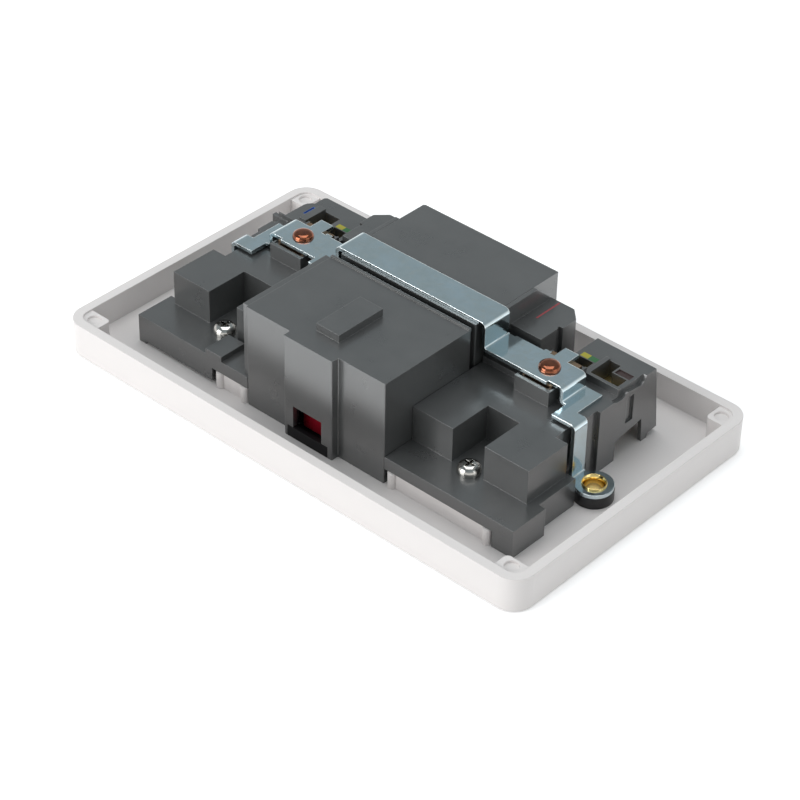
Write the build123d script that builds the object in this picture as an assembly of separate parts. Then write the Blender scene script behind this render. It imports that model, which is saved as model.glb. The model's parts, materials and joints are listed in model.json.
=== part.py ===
"""Twin 13 A switched socket outlet with a built-in earth-leakage trip, lying on its front plate.

Frame: +X along the plate, +Y towards the cable terminals, +Z out of the back. The origin is
the middle of the plate's front face, so everything at the front starts at z = 0.
Lengths are millimetres. "left" is -X and "right" is +X, seen from the back.
"""
import os
from math import atan2, cos, radians, tan

from build123d import *

# Clearances
GAP = 0.3  # between pieces that move past each other
FIT = 0.06  # round a shaft that runs in its hole
SEAT = 0.05  # round a fixed pin in its hole

# Wall fixings
FIXING_SPACING = 120.6
FIXING_X = FIXING_SPACING / 2
FIXING_HOLE_R = 2.2
FIXING_SINK_R = 3.8
FIXING_SINK_DEPTH = 1.0
BUSH_R = 4.85
BUSH_TOP = 5.0
EYELET_WALL = 0.35
EYELET_FLANGE_R = 3.05
EYELET_LIP = 0.5

# Front plate
PLATE_END = 13.2  # from a wall fixing to the plate's end
PLATE_LENGTH = FIXING_SPACING + 2 * PLATE_END
PLATE_WIDTH = 86.0
PLATE_DEPTH = 9.5
FACE = 2.1
RIM = 2.56
CORNER_R = 5.5
FRONT_EDGE_R = 0.5
POST_NEAR = (PLATE_LENGTH / 2 - 9.2, PLATE_WIDTH / 2 - 7.3)  # inner faces of a near corner post
POST_FAR = (PLATE_LENGTH / 2 - 7.7, PLATE_WIDTH / 2 - 8.25)
POST_CORNER_R = 1.2
POST_DROP = 0.5  # below the rim's top
POST_HOLE_R = 1.8
POST_HOLE_DEPTH = 0.6
LIP_RIB_TOP = 6.4
LIP_RIB_Y = (-29.5, -28.3)
LIP_RIB_RIGHT = (24.2, 53.3)
LIP_RIB_LEFT = (-32.2, -23.8)
LIP_POST_Y = -29.45
LIP_POST_R = 1.1

# Socket outlets, to the plug's standard pin pattern
GANG_X = 39.7
EARTH_Y = 7.2
PIN_DROP = 22.2
PIN_SPREAD = 22.2
PIN_ROW_Y = EARTH_Y - PIN_DROP
EARTH_SLOT = (4.7, 8.7)
PIN_SLOT = (7.2, 4.6)
EARTH_PIN = (4.0, 8.0)
PIN_GRIP = 3.8
PIN_WIDTH = 6.4

# Socket bases
WALL = 1.5
BASE_FOOT = FACE
TRAY_TOP = 9.92
TRAY_NEAR_Y = -29.9
TRAY_LIP_FOOT = 6.5
TRAY_END = 61.07
TRAY_STEP_Y = -18.7
TRAY_SIDE = 59.1
TRAY_SIDE_Y = -5.6
TRAY_LEFT_END = 60.5
LEG_START = 54.9  # near leg of the right tray
DEEP_WALL_START = 34.7  # deep near wall of the left tray
DEEP_WALL_FOOT = 2.8
HOOK = 2.3
STEP_X = (-36.8, -31.4)
STEP_FAR_Y = -22.0
STEP_TOP = 11.4
SHUTTER_ROOM_TOP = 6.4
BLOCK_TOP = 19.39
BLOCK_NEAR_Y = -20.4
BLOCK_OUT = 17.2
BLOCK_STEP_Y = -6.6
BLOCK_NECK_OUT = 13.6
BLOCK_FAR_Y = 5.6
NOTCH_IN = 5.3
NOTCH_OUT = 4.3
NOTCH_Y = -8.2
TOWER_HALF = 5.2
TOWER_NEAR_Y = 0.8
TOWER_FAR_Y = 14.5
TOWER_TOP = 23.5
TOWER_SHELF = 23.2
TERMINAL_TOP = 21.5
TERMINAL_NEAR_Y = 14.5
TERMINAL_FAR_Y = 27.8
TERMINAL_DRAFT = 2.0
TERMINAL_OUT = 55.4
TERMINAL_IN = 37.7
TERMINAL_SKIN = 1.0
TERMINAL_LEFT_OUT = 53.3
TERMINAL_LEFT_IN = 35.0
CLAMP_Z = (11.0, 17.0)
CLAMP_Y = (15.4, 25.6)
CLAMP_LIVE = (45.4, 53.2)
CLAMP_NEUTRAL = (41.9, 47.7)
CLAMP_EARTH = (38.9, 43.3)
CLAMP_EARTH_LEFT = (36.1, 40.5)
FRAME_RISE = 0.5  # raised edge round the live clamp's mouth
FRAME_WIDTH = 1.2
LEDGE_X = (46.8, 49.0)  # raised ledge beside the neutral clamp's mouth
LEDGE_RISE = 1.0
MARK_DEPTH = 0.4
LIVE_MARK = ((49.3, 53.5), (19.75, 21.6))
NEUTRAL_MARK = ((-50.7, -49.4), (18.6, 22.3))
CLAMP_SCREW_Y = 17.5
CLAMP_SCREW_R = 1.5
WIRE_Z = 14.5
WIRE_POWER_R = 1.9
WIRE_EARTH_R = 1.4
SKIRT_TOP = 20.0
SKIRT_NEAR_Y = 2.7
SKIRT_SKIN_Y = 7.0
ARCH_TOP = 7.8
DECK_IN = 44.0
DECK_NEAR_Y = 4.0
WEB_IN = 50.0
FIN_X = (-57.4, -52.0)
FIN_Y = (14.3, 15.5)
FIN_FOOT = 8.0

# Base screws
SCREW_Y = -20.4
SCREW_HEAD_R = 2.92
SCREW_HEAD = 2.5
SCREW_SHANK_R = 1.45
SCREW_DEPTH = 6.4
SCREW_BOSS_R = 2.8

# Earth strap, one folded strip
STRAP = 1.0
STRAP_BEND_R = 1.0
BRIDGE_TOP = 31.8
BRIDGE_HALF = 23.5
BRIDGE_NEAR_Y = 2.3
BRIDGE_FAR_Y = 11.1
RUN_TOP = TOWER_SHELF + 0.7 + STRAP
RUN_NEAR_Y = 3.0
RUN_FAR_Y = 11.5
RUN_HALF = GANG_X + 7.1
TAB = (37.5, 41.5)
TAB_END_Y = 15.7
NUB = (34.4, 36.2)
NUB_OUT = 0.7
WING_X = (-31.0, -24.6)
WING_NEAR_Y = -0.1
PAD_TOP = 21.0
PAD_OUT = RUN_HALF + 5.5
TONGUE_OUT = FIXING_X - 4.8
TONGUE_HALF = 2.3
RING_R = 4.75
RIVET_R = 1.5
RIVET_HEAD_R = 2.55
RIVET_HEAD = 1.0
RIVET_TAIL_R = 2.1
RIVET_TAIL = 0.7

# Trip module, near half with the controls
MODULE_LEFT = -22.4
MODULE_RIGHT = 22.0
MODULE_NEAR_Y = -29.95
MODULE_FAR_Y = -0.4
MODULE_TOP = 30.74
MODULE_WALL = 1.6
BAY_LEFT = -8.05
BAY_RIGHT = 7.4
BAY_PROUD = 2.1
BAY_WALL = 1.2
BAY_NEAR_Y = MODULE_NEAR_Y - BAY_PROUD
FLANGE_WIDTH = 1.9
FLANGE_TOP = 30.3
PAD_X = (-3.8, 3.45)
PAD_Y = (-25.5, -10.6)
PAD_RISE = 2.1
RIDGE = (0.8, 0.4)
WINDOW_X = (-5.2, 4.0)
SLOT_X = (-7.1, 6.0)
SLOT_TOP = 5.3
WINDOW_Z = (SLOT_TOP, 11.5)
BOARD_Z = 13.0
BOARD = 1.6
GEAR_Y = -11.5  # middle of the toroid and of the trip coil
TOROID_X = 9.0
TOROID_R = 8.2
TOROID_HOLE_R = 4.6
COIL_X = -10.0
COIL_R = 4.9
COIL_LENGTH = 12.0
BOBBIN_R = 2.6
PLUNGER_R = 1.6

# Trip module, far half
REAR_HALF = 21.6
REAR_NEAR_Y = 1.6
REAR_FAR_Y = 32.0
REAR_TOP = 31.0

# Rocker switches
SWITCH_X = (REAR_HALF + 1.2, GANG_X - TOWER_HALF - 1.7)
ROCKER_X = (SWITCH_X[0] + SWITCH_X[1]) / 2
ROCKER_Y = 20.8
ROCKER_WIDTH = SWITCH_X[1] - SWITCH_X[0] - 1.4
ROCKER_LENGTH = 16.0
ROCKER_TILT = 10.0
ROCKER_FACE_Z = 0.3
ROCKER_PAD = 1.6
ROCKER_BODY = ROCKER_WIDTH - 2.0
ROCKER_BODY_LENGTH = 9.0
PIVOT_Z = 3.4
PIVOT_R = 1.0
PIN_END = 0.4  # of the housing's wall beyond a pivot pin's hole
BLADE_Z = (7.2, 8.0)
BLADE_WIDTH = ROCKER_BODY - 2.2
STOP_FOOT = 10.0
STUD_R = 1.3
STUD_IN = 4.0  # from the pivot to the switch's contact studs
SWITCH_Y = (13.2, 28.3)
SWITCH_TOP = 25.8
SWITCH_WALL = 1.4
SWITCH_FOOT = 4.5
SWITCH_CHAMFER = 3.0
GUSSET = 1.2

# Buttons and flag at the front
BUTTON_Y = -12.0
RESET_X = 8.5
RESET_SIZE = 9.0
TEST_X = -8.5
TEST_SIZE = (6.0, 9.0)
BUTTON_FACE_Z = 0.3
BUTTON_FLANGE = 1.0
BUTTON_STEM_TOP = 9.7
RESET_STEM_R = 2.0
TEST_STEM_R = 1.5
FRAME_ROOF = (8.4, 9.6)
FRAME_X = (-15.0, 16.0)
FRAME_Y = (-26.6, -4.5)
FRAME_WALL = 1.2
FLAG_WINDOW = (5.0, 3.0)
FLAG_Y = -22.5
FLAG_TRAVEL = 5.0
FLAG_FOOT = 3.4
FLAG_PLATE_X = (-5.6, 4.6)
FLAG_PLATE_Y = (-28.0, -27.1)
FLAG_ARM_X = (-2.3, 4.0)
FLAG_ARM_TOP = 6.9
FLAG_DROP_Y = -25.1

# Main contacts in the far half
POLE_X = 10.0
FIXED_TOP = 15.0
TIP = 0.8
TIP_R = 1.6
CARRIER_Y = (13.4, 18.2)
CARRIER_FOOT = FIXED_TOP + TIP + GAP + 0.8
CARRIER_TRAVEL = 2.5
SPRING_BAR_TOP = 11.5
GUIDE = 1.0

# Shutters
SHUTTER = 2.0
SHUTTER_TRAVEL = 6.0
SHUTTER_PAD_Y = (PIN_ROW_Y - 3.0, PIN_ROW_Y + 3.0)
SHUTTER_BAR_Y = (-11.3, -7.3)
SHUTTER_HALF = 15.0
SHUTTER_ARM_HALF = 7.2
SHUTTER_GAP_HALF = 3.2
RAMP_HALF = 2.7
RAMP_CAP = 0.8
RAMP_ROOM_TOP = 9.6
SPRING_WIRE = 0.4

PARTS = {}


def block(x, y, z):
    """Rectangular solid between two limits on each axis."""
    size = Box(x[1] - x[0], y[1] - y[0], z[1] - z[0])
    return Pos((x[0] + x[1]) / 2, (y[0] + y[1]) / 2, (z[0] + z[1]) / 2) * size


def around(centre, width):
    """Limits of a width centred on a place."""
    return (centre - width / 2, centre + width / 2)


def span(side, inner, outer):
    """X limits, low first, of a stretch given outwards from the middle of the plate."""
    return tuple(sorted((side * inner, side * outer)))


def rod(x, y, z, radius):
    """Upright cylinder between two heights."""
    return Pos(x, y, (z[0] + z[1]) / 2) * Cylinder(radius, z[1] - z[0])


def profile_yz(points, x):
    """Solid with a YZ outline, between two X limits."""
    face = make_face(Polyline(*[(x[0], py, pz) for py, pz in points], close=True))
    return extrude(face, amount=x[1] - x[0], dir=(1, 0, 0))


def profile_xy(points, z):
    """Solid with an XY outline, between two heights."""
    face = make_face(Polyline(*[(px, py, z[0]) for px, py in points], close=True))
    return extrude(face, amount=z[1] - z[0], dir=(0, 0, 1))


def keep(name, shape):
    """File a finished piece under its node name."""
    PARTS[name] = shape


# Front plate

def front_plate():
    """White moulding: face, rim, corner posts, screw bosses and every front opening."""
    outer = extrude(RectangleRounded(PLATE_LENGTH, PLATE_WIDTH, CORNER_R), PLATE_DEPTH)
    outer = fillet(outer.faces().sort_by(Axis.Z)[0].edges(), FRONT_EDGE_R)
    pocket = RectangleRounded(PLATE_LENGTH - 2 * RIM, PLATE_WIDTH - 2 * RIM, CORNER_R - RIM)
    plate = outer - Pos(0, 0, FACE) * extrude(pocket, PLATE_DEPTH)
    for sx in (-1, 1):
        for sy in (-1, 1):
            plate += corner_post(sx, sy)
            inner = POST_NEAR if sy < 0 else POST_FAR
            post_x = sx * (inner[0] + PLATE_LENGTH / 2 - RIM) / 2
            post_y = sy * (inner[1] + PLATE_WIDTH / 2 - RIM) / 2
            post_top = PLATE_DEPTH - POST_DROP
            plate -= rod(post_x, post_y, (post_top - POST_HOLE_DEPTH, post_top + 1), POST_HOLE_R)
    for side in (-1, 1):
        gang = side * GANG_X
        plate += rod(gang, SCREW_Y, (FACE / 2, TRAY_TOP - WALL), SCREW_BOSS_R)
        plate -= rod(gang, SCREW_Y, (FACE + 0.5, TRAY_TOP), SCREW_SHANK_R + SEAT)
        plate -= block(around(gang, EARTH_SLOT[0]), around(EARTH_Y, EARTH_SLOT[1]), (-1, FACE + 1))
        for pin in (-1, 1):
            pin_x = around(gang + pin * PIN_SPREAD / 2, PIN_SLOT[0])
            plate -= block(pin_x, around(PIN_ROW_Y, PIN_SLOT[1]), (-1, FACE + 1))
        plate -= rod(side * FIXING_X, 0, (-1, FACE + 1), FIXING_HOLE_R)
        plate -= rod(side * FIXING_X, 0, (-1, FIXING_SINK_DEPTH), FIXING_SINK_R)
        rocker_x = around(side * ROCKER_X, ROCKER_WIDTH + 2 * GAP)
        plate -= block(rocker_x, around(ROCKER_Y, 2 * rocker_reach() + 2 * GAP), (-1, FACE + 1))
    for rib_x in (LIP_RIB_RIGHT, LIP_RIB_LEFT):
        plate += block(rib_x, LIP_RIB_Y, (FACE / 2, LIP_RIB_TOP))
        for post_x in rib_x:
            plate += rod(post_x, LIP_POST_Y, (FACE / 2, LIP_RIB_TOP), LIP_POST_R)
    opening = RESET_SIZE + 2 * GAP
    plate -= block(around(RESET_X, opening), around(BUTTON_Y, opening), (-1, FACE + 1))
    test_x = around(TEST_X, TEST_SIZE[0] + 2 * GAP)
    plate -= block(test_x, around(BUTTON_Y, TEST_SIZE[1] + 2 * GAP), (-1, FACE + 1))
    plate -= block(around(0, FLAG_WINDOW[0]), around(FLAG_Y, FLAG_WINDOW[1]), (-1, FACE + 1))
    keep("front_plate", plate)


def corner_post(sx, sy):
    """Low post in one corner of the plate, with a rounded inner corner."""
    inner = POST_NEAR if sy < 0 else POST_FAR
    x = span(sx, inner[0], PLATE_LENGTH / 2 - RIM + 0.3)
    y = span(sy, inner[1], PLATE_WIDTH / 2 - RIM + 0.3)
    post = block(x, y, (FACE / 2, PLATE_DEPTH - POST_DROP))
    edges = post.edges().filter_by(Axis.Z).sort_by(lambda edge: abs(edge.center().X) + abs(edge.center().Y))
    post = fillet(edges[0], POST_CORNER_R)
    x = span(sx, PLATE_LENGTH / 2 - CORNER_R, PLATE_LENGTH / 2 - RIM + 1)
    y = span(sy, PLATE_WIDTH / 2 - CORNER_R, PLATE_WIDTH / 2 - RIM + 1)
    outside = block(x, y, (0, PLATE_DEPTH))
    centre = (sx * (PLATE_LENGTH / 2 - CORNER_R), sy * (PLATE_WIDTH / 2 - CORNER_R))
    return post - (outside - rod(*centre, (0, PLATE_DEPTH), CORNER_R - RIM + 0.3))


def rocker_reach():
    """How far a rocker's end swings out from its pivot in Y."""
    arm_y = ROCKER_LENGTH / 2
    arm_z = PIVOT_Z - ROCKER_FACE_Z
    radius = (arm_y ** 2 + arm_z ** 2) ** 0.5
    return radius * cos(atan2(arm_z, arm_y) - radians(ROCKER_TILT))


# Socket bases

def base_inner(side):
    """Where a base meets the trip module, above and below the tray's top."""
    if side > 0:
        return MODULE_RIGHT + 0.1, MODULE_RIGHT + 0.1
    return -MODULE_LEFT + FLANGE_WIDTH + 0.1, -MODULE_LEFT + 0.1


def terminal_profile(near_y):
    """YZ outline of the terminal end: sloped far wall, one leg and an arch beside it."""
    far_foot = TERMINAL_FAR_Y + TERMINAL_DRAFT
    return [(near_y, TERMINAL_TOP), (TERMINAL_FAR_Y, TERMINAL_TOP), (far_foot, 3.6), (26.3, 3.2),
            (26.1, BASE_FOOT), (24.0, BASE_FOOT), (23.4, ARCH_TOP + 1.4), (near_y, ARCH_TOP)]


def skirt(side):
    """Outer side wall between the fixing and the terminals, with its stepped top edge."""
    join_y = TERMINAL_NEAR_Y + 0.1
    low_top = SKIRT_TOP - 0.6
    outline = [(SKIRT_SKIN_Y, BASE_FOOT), (13.6, BASE_FOOT), (13.8, ARCH_TOP - 0.3), (join_y, ARCH_TOP),
               (join_y, low_top), (13.0, low_top), (12.0, SKIRT_TOP), (SKIRT_SKIN_Y, SKIRT_TOP)]
    wall = profile_yz(outline, span(side, TERMINAL_OUT - WALL, TERMINAL_OUT))
    web_out = TERMINAL_OUT - TERMINAL_SKIN
    web = block(span(side, WEB_IN, web_out), (SKIRT_NEAR_Y, SKIRT_NEAR_Y + WALL), (BASE_FOOT, SKIRT_TOP))
    web += block(span(side, web_out - 1, web_out), (SKIRT_NEAR_Y, SKIRT_SKIN_Y + 1), (BASE_FOOT, SKIRT_TOP))
    deck_z = (PAD_TOP - STRAP - WALL, SKIRT_TOP)
    deck = block(span(side, WEB_IN, web_out), (SKIRT_NEAR_Y, join_y), deck_z)
    deck += block(span(side, DECK_IN, web_out), (DECK_NEAR_Y, join_y), deck_z)
    return wall + web + deck


def base_outline(side):
    """Outside form of one base, before it is hollowed."""
    gang = side * GANG_X
    wall_inner, tray_inner = base_inner(side)
    end = TRAY_END if side > 0 else TRAY_LEFT_END
    tray_z = (BASE_FOOT, TRAY_TOP)
    body = block(span(side, tray_inner, end), (TRAY_NEAR_Y, TRAY_STEP_Y), tray_z)
    body += block(span(side, tray_inner, TRAY_SIDE), (TRAY_STEP_Y - 1, TRAY_SIDE_Y), tray_z)
    block_x = (gang - BLOCK_OUT - 0.6, gang + BLOCK_OUT)
    neck_x = (gang - BLOCK_OUT - 0.6, gang + BLOCK_NECK_OUT)
    if side < 0:
        neck_x = (gang - BLOCK_NECK_OUT, gang + BLOCK_OUT)
    u_block = block(block_x, (BLOCK_NEAR_Y, BLOCK_STEP_Y), (BASE_FOOT, BLOCK_TOP))
    u_block += block(neck_x, (BLOCK_STEP_Y - 1, BLOCK_FAR_Y), (BASE_FOOT, BLOCK_TOP))
    notch_x = (gang - NOTCH_IN, gang + NOTCH_OUT)
    u_block -= block(notch_x, (BLOCK_NEAR_Y - 1, NOTCH_Y), (TRAY_TOP, BLOCK_TOP + 1))
    block_y = (BLOCK_NEAR_Y - 1, BLOCK_FAR_Y + 1)
    u_block -= block(span(side, 0, wall_inner), block_y, (TRAY_TOP, BLOCK_TOP + 1))
    body += u_block
    body += block(around(gang, 2 * TOWER_HALF), (TOWER_NEAR_Y, TOWER_FAR_Y + 0.1), (BASE_FOOT, TOWER_TOP))
    body += block(span(side, wall_inner, GANG_X), (BLOCK_FAR_Y - WALL, BLOCK_FAR_Y), (BASE_FOOT, PAD_TOP))
    body += terminal_end(side) + skirt(side)
    join_y = (BLOCK_FAR_Y - 1, TERMINAL_NEAR_Y + 0.1)
    body += block(span(side, GANG_X - TOWER_HALF, DECK_IN), join_y, (SHUTTER_ROOM_TOP, SKIRT_TOP))
    if side < 0:
        body += block(STEP_X, (TRAY_NEAR_Y, STEP_FAR_Y), (TRAY_TOP - 0.5, STEP_TOP))
        body -= profile_xy(left_corner(), (0, TERMINAL_TOP + 1))
        body += block(FIN_X, FIN_Y, (FIN_FOOT, SKIRT_TOP + 0.2))
    return body


def terminal_end(side):
    """Raised end over the clamps, hollow below them, with its raised edges and sunk colour marks."""
    top = TERMINAL_TOP
    mark_z = (top - MARK_DEPTH, top + 2)
    low_z = (0, CLAMP_Z[0] - TERMINAL_SKIN)
    low_y = (TERMINAL_NEAR_Y + 0.1, TERMINAL_FAR_Y)
    if side > 0:
        terminal = profile_yz(terminal_profile(TERMINAL_NEAR_Y), (TERMINAL_IN, TERMINAL_OUT))
        skin_x = (TERMINAL_OUT - TERMINAL_SKIN, TERMINAL_OUT + 1)
        wave = [(13.0, 19.4), (15.7, 19.4), (16.4, 20.1), (17.2, 20.35), (19.8, 20.0), (22.3, 19.6),
                (23.3, 20.1), (23.9, 21.2), (24.6, top + 1), (13.0, top + 1)]
        terminal -= profile_yz(wave, skin_x)
        terminal -= block((TERMINAL_OUT - 0.6, TERMINAL_OUT + 1), (17.0, 19.7), (ARCH_TOP + 3.4, 18.6))
        frame_x = (CLAMP_LIVE[0] - FRAME_WIDTH, skin_x[0])
        terminal += block(frame_x, (TERMINAL_NEAR_Y, CLAMP_Y[0]), (top - 1, top + FRAME_RISE))
        frame_x = (frame_x[0], CLAMP_LIVE[0])
        terminal += block(frame_x, (TERMINAL_NEAR_Y, CLAMP_Y[0] + 7.6), (top - 1, top + FRAME_RISE))
        terminal -= block(*LIVE_MARK, mark_z)
        return terminal - block((TERMINAL_IN + TERMINAL_SKIN, skin_x[0]), low_y, low_z)
    terminal = profile_yz(terminal_profile(TERMINAL_NEAR_Y), (-TERMINAL_OUT, -TERMINAL_LEFT_IN))
    terminal += block(span(side, *LEDGE_X), (CLAMP_Y[0], CLAMP_Y[0] + 7.4), (top - 1, top + LEDGE_RISE))
    terminal -= block(*NEUTRAL_MARK, mark_z)
    return terminal - block((-TERMINAL_LEFT_OUT + WALL, -TERMINAL_LEFT_IN - TERMINAL_SKIN), low_y, low_z)


def left_corner():
    """XY outline of what the left terminal end lacks beside the right one."""
    out = -TERMINAL_LEFT_OUT
    near = FIN_Y[0] + 0.5
    far = TERMINAL_FAR_Y + 4
    lobe = [(out, 21.3), (out + 0.3, 22.5), (out + 1.1, 23.4), (out + 1.7, 23.7), (out + 1.7, 27.2)]
    corner = [(out + 2.3, TERMINAL_FAR_Y), (out + 2.3, far), (out - 4, far), (out - 4, near)]
    return [(out, near)] + lobe + corner


def hollow(side):
    """Space inside one base: shutter room, pin chambers, earth tower and the parts between."""
    gang = side * GANG_X
    tray_inner = base_inner(side)[1]
    low = FACE - 1
    end = TRAY_END if side > 0 else TRAY_LEFT_END
    tray_z = (low, TRAY_TOP - WALL)
    roof_z = (low, BLOCK_TOP - WALL)
    near_y = TRAY_NEAR_Y + WALL
    inner_x = tray_inner + WALL
    room = block(span(side, inner_x, end - WALL), (near_y, TRAY_STEP_Y - WALL), tray_z)
    room += block(span(side, inner_x, TRAY_SIDE - WALL), (near_y, TRAY_SIDE_Y - WALL), tray_z)
    shutter_x = around(gang, 2 * SHUTTER_HALF + 1.6)
    room += block(shutter_x, (near_y, BLOCK_FAR_Y - WALL), (low, SHUTTER_ROOM_TOP))
    for pin in (-1, 1):
        centre = gang + pin * PIN_SPREAD / 2
        room += block(around(centre, 8.6), (BLOCK_NEAR_Y + WALL, BLOCK_STEP_Y - WALL), roof_z)
        inner = gang + pin * (TOWER_HALF + 0.2)
        outer = gang + pin * (BLOCK_NECK_OUT - WALL)
        room += block(tuple(sorted((inner, outer))), (BLOCK_STEP_Y, BLOCK_FAR_Y - WALL), roof_z)
    tower_x = around(gang, 2 * (TOWER_HALF - WALL))
    room += block(tower_x, (NOTCH_Y + 1.2, TOWER_FAR_Y - WALL), (low, RAMP_ROOM_TOP))
    room += block(tower_x, (TOWER_NEAR_Y + WALL, TOWER_FAR_Y - WALL), (low, TOWER_TOP + 1))
    shelf_x = around(gang, 2 * (TOWER_HALF - 0.5))
    room += block(shelf_x, (TOWER_NEAR_Y + 0.9, TOWER_FAR_Y + 1), (TOWER_SHELF, TOWER_TOP + 1))
    return room


def socket_base(side, name):
    """Grey base of one outlet, with its terminal end."""
    gang = side * GANG_X
    body = base_outline(side) - hollow(side)
    body -= terminal_room(side)
    body -= rod(gang, SCREW_Y, (low_of_screw(), TRAY_TOP + 1), SCREW_SHANK_R + SEAT)
    body += near_skirt(side)
    body -= Pos(side * FIXING_X, 0, 0) * Cylinder(BUSH_R + GAP, 60)
    body -= strap_slot(side)
    body -= front_clearance(side)
    wall_inner, tray_inner = base_inner(side)
    body -= block(span(side, 0, tray_inner), (TRAY_NEAR_Y - 1, REAR_FAR_Y), (0, TRAY_TOP + 0.1))
    body -= block(span(side, 0, wall_inner), (TRAY_NEAR_Y - 1, REAR_FAR_Y), (TRAY_TOP, BRIDGE_TOP))
    keep(name, body)


def low_of_screw():
    """Height below which the screw's hole is open anyway."""
    return TRAY_TOP - WALL - 1


def near_skirt(side):
    """Near wall of the tray: a leg at the right end, a deep wall with a hook on the left."""
    near_y = (TRAY_NEAR_Y, TRAY_NEAR_Y + WALL)
    if side > 0:
        return block((LEG_START, TRAY_END), near_y, (BASE_FOOT, TRAY_TOP))
    wall = block((-TRAY_LEFT_END, -DEEP_WALL_START), near_y, (DEEP_WALL_FOOT, TRAY_TOP))
    return wall + block((-TRAY_LEFT_END, HOOK - TRAY_LEFT_END), near_y, (BASE_FOOT, TRAY_TOP))


def front_clearance(side):
    """What is cut from the near wall so that the plate's rib fits under the lip."""
    near_y = (TRAY_NEAR_Y - 1, TRAY_NEAR_Y + WALL + 0.2)
    if side > 0:
        return block((MODULE_RIGHT - 2, LEG_START), near_y, (0, TRAY_LIP_FOOT))
    lip = block((-DEEP_WALL_START, MODULE_LEFT + 2), near_y, (0, TRAY_LIP_FOOT))
    return lip + block((HOOK - TRAY_LEFT_END, -DEEP_WALL_START + 1), near_y, (0, DEEP_WALL_FOOT))


def strap_slot(side):
    """Room for the strap's upright strip beside the base."""
    return block(span(side, TONGUE_OUT - STRAP, TRAY_END), (-TONGUE_HALF - GAP, TONGUE_HALF + GAP), (0, 40))


def terminal_room(side):
    """Chambers for the two brass clamps, open below, with mouths above and a wire way each."""
    power, earth = clamps(side)
    roof = CLAMP_Z[1] + SEAT
    rooms = None
    for (inner, outer), radius in ((power, WIRE_POWER_R), (earth, WIRE_EARTH_R)):
        x = span(side, inner - SEAT, outer + SEAT)
        room = block(x, (CLAMP_Y[0] - SEAT, CLAMP_Y[1] + SEAT), (FACE - 1, roof))
        room += wire_way((x[0] + x[1]) / 2, radius + 0.2, 20.0)
        rooms = room if rooms is None else rooms + room
    mouth_z = (roof - 0.1, TERMINAL_TOP + 1)
    long_mouth = (CLAMP_Y[0], CLAMP_Y[0] + 7.4)
    if side > 0:
        rooms += block(power, (CLAMP_Y[0], CLAMP_Y[0] + 4.0), mouth_z)
        rooms += block((power[0], power[0] + 3.3), long_mouth, mouth_z)
    else:
        rooms += block(span(side, power[0], LEDGE_X[0]), long_mouth, mouth_z)
    return rooms + block(span(side, *earth), (CLAMP_Y[0], CLAMP_Y[0] + 3.9), mouth_z)


def clamps(side):
    """X limits of the power clamp and of the earth clamp at one end, from the middle outwards."""
    if side > 0:
        return CLAMP_LIVE, CLAMP_EARTH
    return CLAMP_NEUTRAL, CLAMP_EARTH_LEFT


def wire_way(x, radius, length):
    """Level bore along Y for a wire, from behind the clamp screw to the far side."""
    start = CLAMP_Y[0] - 0.5
    return Pos(x, start + length / 2, WIRE_Z) * Rot(90, 0, 0) * Cylinder(radius, length)


# Brass and copper

def pin_contact(x, name):
    """Folded brass clip that grips a flat pin, with flared mouths, under the block's roof."""
    roof = BLOCK_TOP - WALL
    half = PIN_GRIP / 2
    leaf = 0.6
    inside = [(half + 1.0, roof - leaf), (half, 11.0), (half + 0.1, 9.6), (half + 1.0, 7.4)]
    outside = [(half + 1.0 + leaf, 7.4), (half + leaf, 9.6), (half + leaf, 11.0), (half + 1.0 + leaf, roof)]
    outline = [(PIN_ROW_Y + y, z) for y, z in inside + outside]
    outline += [(PIN_ROW_Y - y, z) for y, z in reversed(inside + outside)]
    keep(name, profile_yz(outline, around(x, PIN_WIDTH)))


def earth_contact(side, name):
    """Folded brass clip over the earth slot, with its riveted flange and tail."""
    gang = side * GANG_X
    half = EARTH_PIN[0] / 2 - 0.1
    leaf = 0.6
    top = TOWER_SHELF + 0.7
    leaf_y = around(EARTH_Y, 6.6)
    clip = block(around(gang, 2 * (half + leaf)), leaf_y, (11.0, TOWER_SHELF))
    clip -= block(around(gang, 2 * half), (leaf_y[0] - 1, leaf_y[1] + 1), (10, TOWER_SHELF - 1.6))
    flange = block(around(gang, 8.6), (RUN_NEAR_Y - 0.25, 13.9), (TOWER_SHELF, top))
    contact = clip + flange
    contact -= rod(gang, EARTH_Y, (TOWER_SHELF - 4, top + 1), RIVET_R + SEAT)
    contact -= rod(gang, EARTH_Y, (TOWER_SHELF - 4, TOWER_SHELF), RIVET_TAIL_R + SEAT)
    keep(name, contact)


def earth_rivet(side, name):
    """Copper rivet through the strap and the earth contact."""
    gang = side * GANG_X
    head = rod(gang, EARTH_Y, (RUN_TOP, RUN_TOP + RIVET_HEAD), RIVET_HEAD_R)
    head = fillet(head.edges().sort_by(Axis.Z)[-1], RIVET_HEAD * 0.45)
    shank = rod(gang, EARTH_Y, (TOWER_SHELF - RIVET_TAIL, RUN_TOP + 0.1), RIVET_R)
    tail = rod(gang, EARTH_Y, (TOWER_SHELF - RIVET_TAIL, TOWER_SHELF), RIVET_TAIL_R)
    keep(name, head + shank + tail)


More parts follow.
